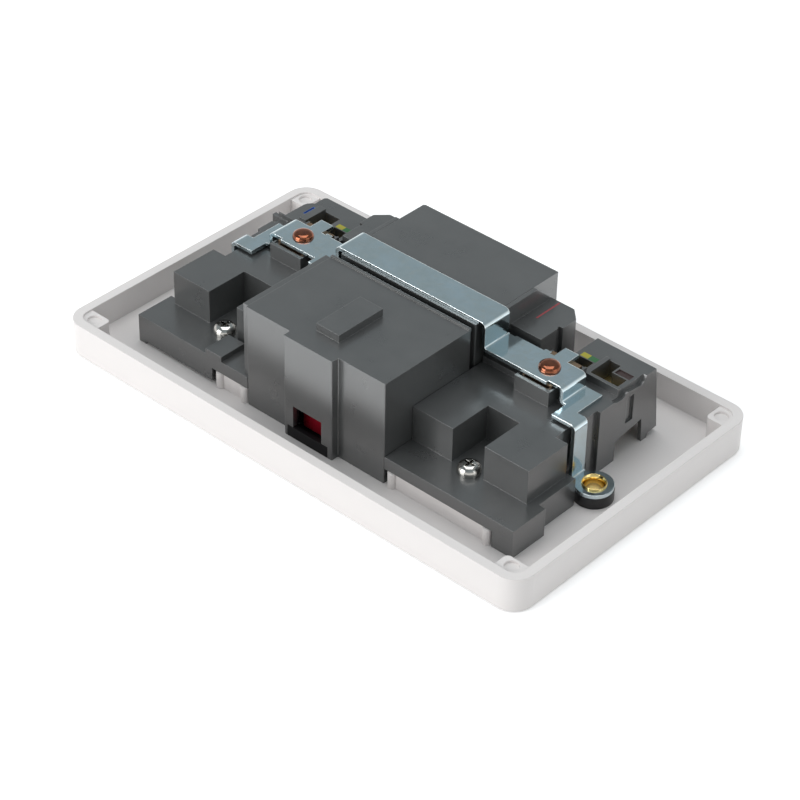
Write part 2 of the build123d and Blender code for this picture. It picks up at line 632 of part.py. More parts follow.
def fixing_parts(side, label):
    """Black spacer and brass eyelet at one wall fixing."""
    x = side * FIXING_X
    tube_r = FIXING_HOLE_R + EYELET_WALL
    bush = rod(x, 0, (FACE, BUSH_TOP), BUSH_R) - rod(x, 0, (FACE - 1, BUSH_TOP + 1), tube_r + SEAT)
    bush -= block(span(side, 0, TONGUE_OUT), (-9, 9), (0, 20))
    keep("fixing_spacer_" + label, bush)
    lip_z = (BUSH_TOP + STRAP, BUSH_TOP + STRAP + EYELET_LIP)
    tube = rod(x, 0, (FACE, lip_z[1]), tube_r)
    lip = rod(x, 0, lip_z, EYELET_FLANGE_R)
    lip = fillet(lip.edges().sort_by(Axis.Z)[-1], EYELET_LIP * 0.5)
    eyelet = tube + lip - rod(x, 0, (FACE - 1, lip_z[1] + 1), FIXING_HOLE_R)
    keep("fixing_eyelet_" + label, eyelet)


def strip_profile(points, y, bend=STRAP_BEND_R):
    """Folded strip: XZ centre line with rounded bends, one thickness, between two Y limits."""
    line = FilletPolyline(*[(px, y[0], pz) for px, pz in points], radius=bend)
    first, last = points[0], points[1]
    start = Vector(first[0], y[0], first[1])
    across = Vector(last[0] - first[0], 0, last[1] - first[1]).cross(Vector(0, 1, 0)).normalized()
    half = across * (STRAP / 2)
    section = Line(start - half, start + half)
    face = sweep(section, path=line, transition=Transition.RIGHT)
    return extrude(face, amount=y[1] - y[0], dir=(0, 1, 0))


def earth_strap():
    """Zinc-plated strap: bridge over the module, stepped runs, and ringed feet at the fixings."""
    bridge_mid = BRIDGE_TOP - STRAP / 2
    run_mid = RUN_TOP - STRAP / 2
    pad_mid = PAD_TOP - STRAP / 2
    foot_mid = BUSH_TOP + STRAP / 2
    leg_mid = BRIDGE_HALF
    step_mid = RUN_HALF
    strap = None
    for side in (-1, 1):
        upper = [(0, bridge_mid), (side * leg_mid, bridge_mid), (side * leg_mid, run_mid),
                 (side * (RUN_HALF - 4), run_mid)]
        piece = strip_profile(upper, (BRIDGE_NEAR_Y, BRIDGE_FAR_Y))
        lower = [(side * (BRIDGE_HALF + 2.5), run_mid), (side * step_mid, run_mid),
                 (side * step_mid, pad_mid), (side * PAD_OUT, pad_mid)]
        piece += strip_profile(lower, (RUN_NEAR_Y, RUN_FAR_Y))
        run_z = (RUN_TOP - STRAP, RUN_TOP)
        piece += block(span(side, *TAB), (RUN_FAR_Y - 1, TAB_END_Y), run_z)
        piece += block(span(side, *NUB), (RUN_FAR_Y - 1, RUN_FAR_Y + NUB_OUT), run_z)
        tongue = [(side * (RUN_HALF + 1.6), pad_mid), (side * (TONGUE_OUT - STRAP / 2), pad_mid),
                  (side * (TONGUE_OUT - STRAP / 2), foot_mid), (side * FIXING_X, foot_mid)]
        piece += strip_profile(tongue, (-TONGUE_HALF, TONGUE_HALF))
        pad_y = (TONGUE_HALF - 1, RUN_NEAR_Y + 1)
        piece += block(span(side, RUN_HALF + 1.6, PAD_OUT), pad_y, (PAD_TOP - STRAP, PAD_TOP))
        piece += rod(side * FIXING_X, 0, (BUSH_TOP, BUSH_TOP + STRAP), RING_R)
        piece -= rod(side * FIXING_X, 0, (BUSH_TOP - 1, BUSH_TOP + 2), FIXING_HOLE_R + EYELET_WALL + SEAT)
        piece -= rod(side * GANG_X, EARTH_Y, (RUN_TOP - 2, RUN_TOP + 1), RIVET_R + SEAT)
        strap = piece if strap is None else strap + piece
    strap += block(WING_X, (WING_NEAR_Y, RUN_NEAR_Y + 0.5), (RUN_TOP - STRAP, RUN_TOP))
    keep("earth_strap", strap)


def terminals():
    """Brass terminal blocks with their clamp screws, one supply and one earth at each end."""
    screws = []
    names = {1: ("live_terminal", "earth_terminal_right"), -1: ("neutral_terminal", "earth_terminal_left")}
    for side in (1, -1):
        for name, limits, wire_r in zip(names[side], clamps(side), (WIRE_POWER_R, WIRE_EARTH_R)):
            x = span(side, *limits)
            centre = (x[0] + x[1]) / 2
            body = block(x, CLAMP_Y, CLAMP_Z)
            body -= wire_way(centre, wire_r, 20.0)
            body -= rod(centre, CLAMP_SCREW_Y, (WIRE_Z - 1.2, CLAMP_Z[1] + 1), CLAMP_SCREW_R + SEAT)
            keep(name, body)
            top = CLAMP_Z[1]
            screw = rod(centre, CLAMP_SCREW_Y, (WIRE_Z - 0.8, top + 0.1), CLAMP_SCREW_R)
            screw += rod(centre, CLAMP_SCREW_Y, (top, top + 1.3), CLAMP_SCREW_R + 0.3)
            screw -= block(around(centre, 5), around(CLAMP_SCREW_Y, 0.6), (top + 0.5, top + 3))
            screws.append(screw)
    keep("terminal_screws", Compound(children=screws))


def base_screws():
    """Pan-head screws that hold the bases to the front plate."""
    screws = []
    for side in (-1, 1):
        x = side * GANG_X
        head = rod(x, SCREW_Y, (TRAY_TOP, TRAY_TOP + SCREW_HEAD), SCREW_HEAD_R)
        head = fillet(head.edges().sort_by(Axis.Z)[-1], SCREW_HEAD * 0.7)
        recess_z = (TRAY_TOP + SCREW_HEAD * 0.35, TRAY_TOP + SCREW_HEAD + 1)
        head -= block(around(x, 2.9), around(SCREW_Y, 0.7), recess_z)
        head -= block(around(x, 0.7), around(SCREW_Y, 2.9), recess_z)
        shank = rod(x, SCREW_Y, (TRAY_TOP - SCREW_DEPTH, TRAY_TOP + 0.1), SCREW_SHANK_R)
        screws.append(head + shank)
    keep("base_screws", Compound(children=screws))


# Trip module housings

def front_module():
    """Near half of the module: five walls, with a proud bay, window, slot and side flange."""
    x = (MODULE_LEFT, MODULE_RIGHT)
    y = (MODULE_NEAR_Y, MODULE_FAR_Y)
    body = block(x, y, (BASE_FOOT, MODULE_TOP))
    body += block((BAY_LEFT, BAY_RIGHT), (BAY_NEAR_Y, MODULE_NEAR_Y + 1), (BASE_FOOT, MODULE_TOP))
    body = fillet(body.edges().filter_by(Axis.Z), 0.3)
    body += block(PAD_X, PAD_Y, (MODULE_TOP - 0.5, MODULE_TOP + PAD_RISE))
    body += block(x, (MODULE_FAR_Y - RIDGE[0], MODULE_FAR_Y), (MODULE_TOP - 0.5, MODULE_TOP + RIDGE[1]))
    flange_y = (MODULE_NEAR_Y + 1, MODULE_FAR_Y - 0.4)
    body += block((MODULE_LEFT - FLANGE_WIDTH, MODULE_LEFT + 0.5), flange_y, (TRAY_TOP, FLANGE_TOP))
    wall = MODULE_WALL
    body -= block((x[0] + wall, x[1] - wall), (y[0] + wall, y[1] - wall), (0, MODULE_TOP - wall))
    bay_y = (BAY_NEAR_Y + BAY_WALL, MODULE_NEAR_Y + wall + 1)
    body -= block((BAY_LEFT + BAY_WALL, BAY_RIGHT - BAY_WALL), bay_y, (0, MODULE_TOP - wall))
    through_y = (BAY_NEAR_Y - 1, MODULE_NEAR_Y + wall + 1)
    body -= block(WINDOW_X, through_y, WINDOW_Z)
    body -= block(SLOT_X, through_y, (0, SLOT_TOP))
    shelf_z = (BOARD_Z - WALL, BOARD_Z)
    for shelf_x in ((x[0] + 1, x[0] + wall + 1.4), (x[1] - wall - 1.4, x[1] - 1)):
        body += block(shelf_x, (y[0] + 1, y[1] - 1), shelf_z)
    keep("trip_housing_front", body)


def rear_module():
    """Far half of the module, with the seat of the strap's bridge at its near end."""
    y = (REAR_NEAR_Y, REAR_FAR_Y)
    seat_z = BRIDGE_TOP - STRAP
    body = block((-REAR_HALF, REAR_HALF), y, (BASE_FOOT, seat_z))
    body = fillet(body.edges().filter_by(Axis.Z), 0.4)
    body += block((-REAR_HALF, REAR_HALF), (BRIDGE_FAR_Y + GAP, REAR_FAR_Y - 0.5), (seat_z - 0.1, REAR_TOP))
    wall = MODULE_WALL
    inner = REAR_HALF - wall
    body -= block((-inner, inner), (y[0] + wall, y[1] - wall), (0, seat_z - wall))
    body += block((-inner - 0.1, inner + 0.1), CARRIER_Y, (SPRING_BAR_TOP - WALL, SPRING_BAR_TOP))
    guide_z = (SPRING_BAR_TOP - WALL, seat_z - wall + 0.1)
    for start in (CARRIER_Y[0] - GAP - GUIDE, CARRIER_Y[1] + GAP):
        for side in (-1, 1):
            body += block(span(side, inner - 1.8, inner + 0.1), (start, start + GUIDE), guide_z)
    keep("trip_housing_rear", body)


def switch_housing(side, name):
    """Chamber of one rocker switch, with a sloped gusset against the module."""
    x = span(side, *SWITCH_X)
    height = (SWITCH_FOOT, SWITCH_TOP)
    near, far = SWITCH_Y
    inner, outer = SWITCH_X
    step_y = 20.0
    outline = [(inner, near), (outer - 0.8, near), (outer - 0.8, step_y - 0.4), (outer - 1.1, step_y - 0.4),
               (outer - 1.1, step_y + 0.4), (outer, step_y + 0.4), (outer, far - SWITCH_CHAMFER),
               (outer - SWITCH_CHAMFER, far), (inner, far)]
    body = profile_xy([(side * px, py) for px, py in outline], height)
    gusset = [(REAR_NEAR_Y + 10, SWITCH_TOP - 1), (REAR_NEAR_Y + 10, REAR_TOP), (22.6, REAR_TOP),
              (far, SWITCH_TOP), (far, SWITCH_TOP - 1)]
    body += profile_yz(gusset, span(side, REAR_HALF + 0.1, inner))
    body += block(span(side, REAR_HALF + 0.1, inner + 0.5), (near, far), (SWITCH_FOOT, SWITCH_TOP))
    wall = SWITCH_WALL
    body -= block(span(side, inner + wall, outer - wall), (near + wall, far - wall), (0, SWITCH_TOP - wall))
    ear_y = around(ROCKER_Y, 4.4)
    for ear_x in (span(side, inner, inner + wall), span(side, outer - wall, outer)):
        body += block(ear_x, ear_y, (PIVOT_Z - PIVOT_R / 2, SWITCH_FOOT + 1))
    pin_place = Pos((x[0] + x[1]) / 2, ROCKER_Y, PIVOT_Z) * Rot(0, 90, 0)
    body -= pin_place * Cylinder(PIVOT_R + FIT, outer - inner - 2 * PIN_END)
    keep(name, body)


def rocker(side, name, contact_name, fixed_name):
    """Rocker with its pivot pins, the blade that it carries and the fixed contact it meets."""
    x = side * ROCKER_X
    half = ROCKER_LENGTH / 2
    rise = half * tan(radians(ROCKER_TILT))
    face = ROCKER_FACE_Z
    outline = [(ROCKER_Y - half, face), (ROCKER_Y, face), (ROCKER_Y + half, face + rise),
               (ROCKER_Y + half, face + rise + ROCKER_PAD), (ROCKER_Y + 3.2, face + ROCKER_PAD),
               (ROCKER_Y - half, face + ROCKER_PAD)]
    body = profile_yz(outline, around(x, ROCKER_WIDTH))
    half_body = ROCKER_BODY_LENGTH / 2
    blade_foot, blade_top = BLADE_Z
    core = [(ROCKER_Y - half_body, face + 1), (ROCKER_Y + half_body, face + 1.6),
            (ROCKER_Y + 2.6, blade_foot), (ROCKER_Y - 2.6, blade_foot)]
    body += profile_yz(core, around(x, ROCKER_BODY))
    pin_length = SWITCH_X[1] - SWITCH_X[0] - 2 * PIN_END - 2 * GAP
    body += Pos(x, ROCKER_Y, PIVOT_Z) * Rot(0, 90, 0) * Cylinder(PIVOT_R, pin_length)
    keep(name, body)
    blade_x = around(x, BLADE_WIDTH)
    blade = block(blade_x, around(ROCKER_Y, 10.6), BLADE_Z)
    blade += rod(x, ROCKER_Y - STUD_IN, (blade_top - 0.1, blade_top + 0.8), STUD_R)
    keep(contact_name, blade)
    stop = rod(x, ROCKER_Y - STUD_IN, (STOP_FOOT, STOP_FOOT + 1), STUD_R)
    wall_y = SWITCH_Y[0] + SWITCH_WALL
    strip_foot = STOP_FOOT + 0.9
    stop += block(blade_x, (wall_y, ROCKER_Y - 2.0), (strip_foot, strip_foot + 0.8))
    stop += block(blade_x, (wall_y, wall_y + 0.8), (strip_foot, 20.0))
    keep(fixed_name, stop)


# Shutters

def shutter(side, name, spring_name):
    """Sliding blank over the live and neutral slots, with the ramp that the earth pin pushes."""
    gang = side * GANG_X
    z = (FACE + GAP, FACE + GAP + SHUTTER)
    body = block(around(gang, 2 * SHUTTER_HALF), SHUTTER_PAD_Y, z)
    body += block(around(gang, 2 * SHUTTER_ARM_HALF), (SHUTTER_PAD_Y[0], SHUTTER_BAR_Y[1]), z)
    gap_x = around(gang, 2 * SHUTTER_GAP_HALF)
    body -= block(gap_x, (SHUTTER_PAD_Y[0] - 1, SHUTTER_BAR_Y[0]), (0, z[1] + 1))
    pin_edge = EARTH_Y - EARTH_PIN[1] / 2
    ramp_end = pin_edge + SHUTTER_TRAVEL
    ramp_top = z[0] + SHUTTER_TRAVEL
    body += block(around(gang, 2 * RAMP_HALF), (SHUTTER_BAR_Y[0] + 1, pin_edge), z)
    ramp = [(pin_edge - 4.4, z[0]), (pin_edge, z[0]), (ramp_end, ramp_top), (ramp_end, ramp_top + RAMP_CAP),
            (pin_edge - 1.6, ramp_top + RAMP_CAP), (pin_edge - 4.4, z[1])]
    body += profile_yz(ramp, around(gang, 2 * RAMP_HALF))
    keep(name, body)
    coil_y = (TRAY_NEAR_Y + WALL + SEAT, SHUTTER_PAD_Y[0] - SEAT)
    keep(spring_name, coil(gang - PIN_SPREAD / 2, z[0] + 1.4, coil_y, 1.3, SPRING_WIRE, 5))


def coil(x, z, y, radius, wire, turns):
    """Compression spring along Y, of square wire."""
    pitch = (y[1] - y[0] - wire) / turns
    helix = Helix(pitch, pitch * turns, radius)
    section = Plane(origin=helix @ 0, z_dir=helix % 0) * Rectangle(wire, wire)
    spring = sweep(section, path=helix, is_frenet=True)
    return Pos(x, y[0] + wire / 2, z) * Rot(-90, 0, 0) * spring


def coil_upright(x, y, z, radius, wire, turns):
    """Compression spring along Z, of square wire."""
    pitch = (z[1] - z[0] - wire) / turns
    helix = Helix(pitch, pitch * turns, radius)
    section = Plane(origin=helix @ 0, z_dir=helix % 0) * Rectangle(wire, wire)
    spring = sweep(section, path=helix, is_frenet=True)
    return Pos(x, y, z[0] + wire / 2) * spring


# Inside the trip module

def button_frame():
    """Black frame behind the buttons, with the tongue that fills the housing's slot."""
    z = (BASE_FOOT, FRAME_ROOF[1])
    body = block(FRAME_X, FRAME_Y, z)
    inside_x = (FRAME_X[0] + FRAME_WALL, FRAME_X[1] - FRAME_WALL)
    inside_y = (FRAME_Y[0] + FRAME_WALL, FRAME_Y[1] - FRAME_WALL)
    body -= block(inside_x, inside_y, (0, FRAME_ROOF[0]))
    body -= rod(RESET_X, BUTTON_Y, (5, 12), RESET_STEM_R + FIT)
    body -= rod(TEST_X, BUTTON_Y, (5, 12), TEST_STEM_R + FIT)
    arm_x = (FLAG_ARM_X[0] - 1, FLAG_ARM_X[1] + FLAG_TRAVEL + 1)
    body -= block(arm_x, (FRAME_Y[0] - 1, inside_y[0] + 0.5), (SLOT_TOP, FLAG_ARM_TOP + 0.5))
    tongue_x = (SLOT_X[0] + 0.15, SLOT_X[1] - 0.15)
    body += block(tongue_x, (BAY_NEAR_Y, BAY_NEAR_Y + BAY_WALL), (BASE_FOOT, SLOT_TOP - 0.1))
    body += block(tongue_x, (BAY_NEAR_Y + 0.5, FRAME_Y[0] + 0.5), (BASE_FOOT, FLAG_FOOT - GAP))
    keep("button_frame", body)


def reset_button():
    """Square reset button with its flange, stem and return spring."""
    z_flange = (FACE + GAP, FACE + GAP + BUTTON_FLANGE)
    cap_z = (BUTTON_FACE_Z, z_flange[0] + 0.2)
    body = block(around(RESET_X, RESET_SIZE), around(BUTTON_Y, RESET_SIZE), cap_z)
    body += block(around(RESET_X, RESET_SIZE + 2), around(BUTTON_Y, RESET_SIZE + 2), z_flange)
    body += rod(RESET_X, BUTTON_Y, (z_flange[1] - 0.1, BUTTON_STEM_TOP), RESET_STEM_R)
    keep("reset_button", body)
    spring_z = (z_flange[1] + SEAT, FRAME_ROOF[0] - SEAT)
    keep("reset_spring", coil_upright(RESET_X, BUTTON_Y, spring_z, RESET_STEM_R + 0.7, 0.5, 4))


def test_button():
    """Test button with its flange, stem and return spring."""
    z_flange = (FACE + GAP, FACE + GAP + BUTTON_FLANGE)
    x_cap = around(TEST_X, TEST_SIZE[0])
    y_cap = around(BUTTON_Y, TEST_SIZE[1])
    body = block(x_cap, y_cap, (BUTTON_FACE_Z, z_flange[0] + 0.2))
    body += block((x_cap[0] - 1, x_cap[1] + 1), (y_cap[0] - 1, y_cap[1] + 1), z_flange)
    body += rod(TEST_X, BUTTON_Y, (z_flange[1] - 0.1, BUTTON_STEM_TOP), TEST_STEM_R)
    keep("test_button", body)
    spring_z = (z_flange[1] + SEAT, FRAME_ROOF[0] - SEAT)
    keep("test_spring", coil_upright(TEST_X, BUTTON_Y, spring_z, TEST_STEM_R + 0.7, 0.5, 4))


def status_flag():
    """Red flag: an upright plate behind the side window and a face behind the front window."""
    low = FACE + GAP
    drop_y = (FLAG_DROP_Y, FLAG_DROP_Y + 1)
    flag = block(FLAG_PLATE_X, FLAG_PLATE_Y, (FLAG_FOOT, WINDOW_Z[1] - 0.1))
    flag += block(FLAG_ARM_X, (FLAG_PLATE_Y[1] - 0.4, drop_y[1]), (SLOT_TOP + 0.4, FLAG_ARM_TOP))
    flag += block((FLAG_ARM_X[0] - 0.6, FLAG_ARM_X[1]), drop_y, (low, FLAG_ARM_TOP))
    flag += block((FLAG_ARM_X[0] - 0.6, FLAG_ARM_X[1]), (drop_y[0], FLAG_Y + 1.8), (low, low + 0.9))
    keep("status_flag", flag)


def circuit_board():
    """Board on the housing's shelves, with its parts, the toroid and the trip coil."""
    x = (MODULE_LEFT + MODULE_WALL + 0.2, MODULE_RIGHT - MODULE_WALL - 0.2)
    y = (MODULE_NEAR_Y + MODULE_WALL + 0.2, MODULE_FAR_Y - MODULE_WALL - 0.2)
    board = block(x, y, (BOARD_Z, BOARD_Z + BOARD))
    keep("circuit_board", board)
    top = BOARD_Z + BOARD
    parts = [block((-18.5, -12.5), (-27.0, -23.0), (top, top + 1.6)),
             block((-10.0, -5.0), (-26.8, -23.2), (top, top + 1.2)),
             rod(16.0, -24.0, (top, top + 8), 3.2),
             block((-1.0, 8.0), (-27.2, -24.4), (top, top + 5.0))]
    keep("board_components", Compound(children=parts))
    core = rod(TOROID_X, GEAR_Y, (top + 0.8, top + 7.6), TOROID_R)
    core -= rod(TOROID_X, GEAR_Y, (top - 1, top + 9), TOROID_HOLE_R)
    keep("toroid_core", core)
    keep("toroid_winding", winding(TOROID_X, GEAR_Y, top))
    middle = Pos(COIL_X, GEAR_Y, top + COIL_R + 0.7) * Rot(0, 90, 0)
    half = COIL_LENGTH / 2
    bobbin = middle * Cylinder(BOBBIN_R, COIL_LENGTH)
    for end in (-half, half):
        bobbin += Pos(end, 0, 0) * middle * Cylinder(COIL_R + 0.7, 1.2)
    bobbin -= middle * Cylinder(PLUNGER_R + 2 * SEAT, 20)
    keep("trip_bobbin", bobbin)
    turns = middle * (Cylinder(COIL_R, COIL_LENGTH - 1.3) - Cylinder(BOBBIN_R + SEAT, COIL_LENGTH))
    keep("trip_coil", turns)
    plunger = Pos(-2.3, 0, 0) * middle * Cylinder(PLUNGER_R, 14.0)
    plunger += Pos(-9.3, 0, 0) * middle * Cylinder(PLUNGER_R + 0.6, 0.9)
    keep("trip_plunger", plunger)


def winding(x, y, top):
    """Turns of wire round one side of the core, as closed square loops."""
    loops = []
    mid = (TOROID_R + TOROID_HOLE_R) / 2
    width = TOROID_R - TOROID_HOLE_R + 0.1
    loop = Box(width + 1.2, 0.9, 8.2) - Box(width, 2, 6.9)
    for step in range(7):
        loops.append(Pos(x, y, top + 4.2) * Rot(0, 0, 30 * step) * Pos(mid, 0, 0) * loop)
    return Compound(children=loops)


def contact_gear():
    """Main contacts in the far half: fixed strips, the sliding carrier, its bridges and spring."""
    fixed = []
    bridges = []
    inside_y = (REAR_NEAR_Y + MODULE_WALL, REAR_FAR_Y - MODULE_WALL)
    for x in (-POLE_X, POLE_X):
        for reach, tip in (((inside_y[0], CARRIER_Y[0] - 1.4), CARRIER_Y[0] - 3.0),
                           ((CARRIER_Y[1] + 1.4, inside_y[1]), CARRIER_Y[1] + 3.0)):
            strip = block(around(x, 5.0), reach, (FIXED_TOP - 0.9, FIXED_TOP))
            strip += rod(x, tip, (FIXED_TOP - 0.1, FIXED_TOP + TIP), TIP_R)
            fixed.append(strip)
        blade_y = (CARRIER_Y[0] - 4.6, CARRIER_Y[1] + 4.6)
        bridges.append(block(around(x, 4.6), blade_y, (FIXED_TOP + TIP + GAP, CARRIER_FOOT)))
    keep("fixed_contacts", Compound(children=fixed))
    keep("bridge_contacts", Compound(children=bridges))
    half = REAR_HALF - MODULE_WALL - GAP
    carrier = block((-half, half), CARRIER_Y, (CARRIER_FOOT, CARRIER_FOOT + 4.0))
    keep("contact_carrier", carrier)
    spring_z = (SPRING_BAR_TOP + SEAT, CARRIER_FOOT - SEAT)
    keep("carrier_spring", coil_upright(0, sum(CARRIER_Y) / 2, spring_z, 2.0, 0.5, 4))


def build():
    """Make every piece."""
    front_plate()
    for side, label in ((-1, "left"), (1, "right")):
        gang = side * GANG_X
        socket_base(side, "socket_base_" + label)
        pin_contact(gang - PIN_SPREAD / 2, "live_contact_" + label)
        pin_contact(gang + PIN_SPREAD / 2, "neutral_contact_" + label)
        earth_contact(side, "earth_contact_" + label)
        earth_rivet(side, "earth_rivet_" + label)
        fixing_parts(side, label)
        switch_housing(side, "switch_housing_" + label)
        rocker(side, "rocker_" + label, "rocker_blade_" + label, "switch_contact_" + label)
        shutter(side, "shutter_" + label, "shutter_spring_" + label)
    earth_strap()
    terminals()
    base_screws()
    front_module()
    rear_module()
    button_frame()
    reset_button()
    test_button()
    status_flag()
    circuit_board()
    contact_gear()


build()
os.makedirs("parts", exist_ok=True)
for node, shape in PARTS.items():
    export_step(shape, f"parts/{node}.step")
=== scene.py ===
"""Finishes and studio for the twin switched socket outlet, lying on its front plate.

Everything is in metres in the frame of the loaded model: +X along the plate, +Y towards the
cable terminals, +Z out of the wiring side. Panel values are in the units that they name.
"""
import json
from math import cos, radians, sin

import bmesh
import bpy
from mathutils import Matrix, Quaternion, Vector


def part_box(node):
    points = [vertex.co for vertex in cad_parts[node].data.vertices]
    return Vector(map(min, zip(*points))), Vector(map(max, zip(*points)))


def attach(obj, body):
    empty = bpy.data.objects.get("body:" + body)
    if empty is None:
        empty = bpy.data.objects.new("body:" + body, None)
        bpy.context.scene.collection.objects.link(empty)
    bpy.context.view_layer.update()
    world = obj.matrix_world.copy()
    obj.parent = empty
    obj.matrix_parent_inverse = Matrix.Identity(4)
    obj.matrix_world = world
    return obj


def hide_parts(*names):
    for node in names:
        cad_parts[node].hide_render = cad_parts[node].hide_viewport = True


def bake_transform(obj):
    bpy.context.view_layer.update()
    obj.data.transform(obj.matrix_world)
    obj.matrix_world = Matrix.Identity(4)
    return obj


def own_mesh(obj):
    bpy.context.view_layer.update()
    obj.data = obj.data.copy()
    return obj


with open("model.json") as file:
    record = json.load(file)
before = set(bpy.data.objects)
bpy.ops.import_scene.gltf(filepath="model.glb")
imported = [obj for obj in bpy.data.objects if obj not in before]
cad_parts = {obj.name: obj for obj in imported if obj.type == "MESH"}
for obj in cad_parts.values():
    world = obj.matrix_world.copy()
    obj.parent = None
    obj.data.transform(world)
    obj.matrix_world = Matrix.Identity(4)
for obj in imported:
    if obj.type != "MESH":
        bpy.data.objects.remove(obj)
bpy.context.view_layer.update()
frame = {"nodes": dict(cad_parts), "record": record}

bl_info = {
    "name": "Socket Outlet Finishes",
    "version": (1, 0, 0),
    "blender": (4, 5, 0),
    "location": "View3D > Sidebar > Outlet",
    "description": "Gives the twin socket outlet its finishes, its floor, its lights and its camera",
    "category": "Object",
}

MM = 0.001
UP = (0.0, 0.0, 1.0)

# Steps of the turned and wound pieces
TURN_STEPS = 72
DOME_STEPS = 14
WIRE_SIDES = 12
WIRE_STEPS_A_TURN = 28
MERGE_DISTANCE = 1e-7
SMOOTH_BELOW = radians(40.0)
EYELET_SMOOTH_BELOW = radians(30.0)

# Angle in radians that the ripple of a turned head's rings goes through in a millimetre
RIPPLE_PER_MM = 26.0

# Colours that the panel leaves alone
INNER_WHITE = (0.70, 0.70, 0.68)
MARK_YELLOW = (0.38, 0.34, 0.002)
MARK_GREEN = (0.003, 0.12, 0.02)
MARK_RED = (0.30, 0.02, 0.03)
BLUISH_BLOOM = (0.69, 0.82, 0.88)
STRAW_BLOOM = (0.66, 0.66, 0.60)
ZINC_SCRATCH = (0.85, 0.88, 0.90)
# Near-white colour of the painted highlight along the strap's sharp edges
ZINC_EDGE_HIGHLIGHT = (0.92, 0.95, 0.96)
RIVET_TARNISH = (0.15, 0.038, 0.014)
EYELET_TARNISH = (0.90, 0.66, 0.26)
BRASS_TARNISH = (0.58, 0.38, 0.14)
# Brass darkened as painted shade, for the earth contacts beside the strap
SHADE_DARKENED_BRASS = (0.30, 0.21, 0.14)
SHADE_DARKENED_BRASS_TARNISH = (0.19, 0.13, 0.08)
NICKEL_TARNISH = (0.42, 0.41, 0.39)
COPPER_TARNISH = (0.50, 0.26, 0.18)
CERAMIC = (0.03, 0.03, 0.035)
ENAMEL = (0.50, 0.16, 0.06)
ENAMEL_TARNISH = (0.36, 0.10, 0.04)
BUTTON_BLUE = (0.03, 0.10, 0.32)
STEEL = (0.42, 0.42, 0.44)
STEEL_TARNISH = (0.30, 0.30, 0.31)
LACQUER = (0.02, 0.10, 0.04)
TRACK = (0.06, 0.20, 0.08)

# Marks by the clamps: edges along X, edges along Y and the height they lie above, in millimetres
RIGHT_LIVE_BAR = ((49.2, 53.6), (19.7, 21.7), 21.0)
RIGHT_YELLOW_BAR = ((38.9, 41.2), (19.6, 21.3), 21.0)
RIGHT_GREEN_BAR = ((41.2, 43.5), (19.6, 21.3), 21.0)
LEFT_NEUTRAL_BAR = ((-50.8, -49.3), (18.5, 22.4), 21.0)
LEFT_YELLOW_BAR = ((-40.5, -38.2), (19.6, 21.2), 21.0)
LEFT_GREEN_BAR = ((-38.2, -35.9), (19.6, 21.2), 21.0)
SWITCH_LINE = ((25.35, 25.8), (19.3, 27.9), 25.6)
MARK_EDGE_MM = 0.04

# Floor, surroundings and lamps
FLOOR_HALF_SIZE = 4.0
FLOOR_DROP = 0.2 * MM
FLOOR_GLOW = 0.32
HORIZON_WHITE = (1.0, 0.985, 0.965)
OVERHEAD_TINT = (0.87, 0.98, 1.03)
FADE_FROM = 0.12
FADE_TO = 0.55
LAMP_TARGET = (0.0, 0.0, 0.01)


# Formulas in materials

class Signal:
    """An output of a material's nodes that can be used in a formula like a number."""

    def __init__(self, graph, socket):
        self.graph = graph
        self.socket = socket

    def _math(self, operation, *values):
        return self.graph.node("ShaderNodeMath", {"operation": operation}, dict(enumerate(values)))

    def __add__(self, other):
        return self._math("ADD", self, other)

    def __radd__(self, other):
        return self._math("ADD", other, self)

    def __sub__(self, other):
        return self._math("SUBTRACT", self, other)

    def __rsub__(self, other):
        return self._math("SUBTRACT", other, self)

    def __mul__(self, other):
        return self._math("MULTIPLY", self, other)

    def __rmul__(self, other):
        return self._math("MULTIPLY", other, self)

    def __pow__(self, other):
        return self._math("POWER", self, other)

    def __gt__(self, other):
        return self._math("GREATER_THAN", self, other)

    def __abs__(self):
        return self._math("ABSOLUTE", self)

    def clamped(self):
        """The value held between 0 and 1."""
        return self.graph.node("ShaderNodeClamp", {}, {"Value": self})

    def ramp(self, low, high, start=0.0, end=1.0):
        """Straight ramp from start at low to end at high, held outside them."""
        limits = {"From Min": low, "From Max": high, "To Min": start, "To Max": end}
        return self.graph.node("ShaderNodeMapRange", {"clamp": True}, {"Value": self, **limits})


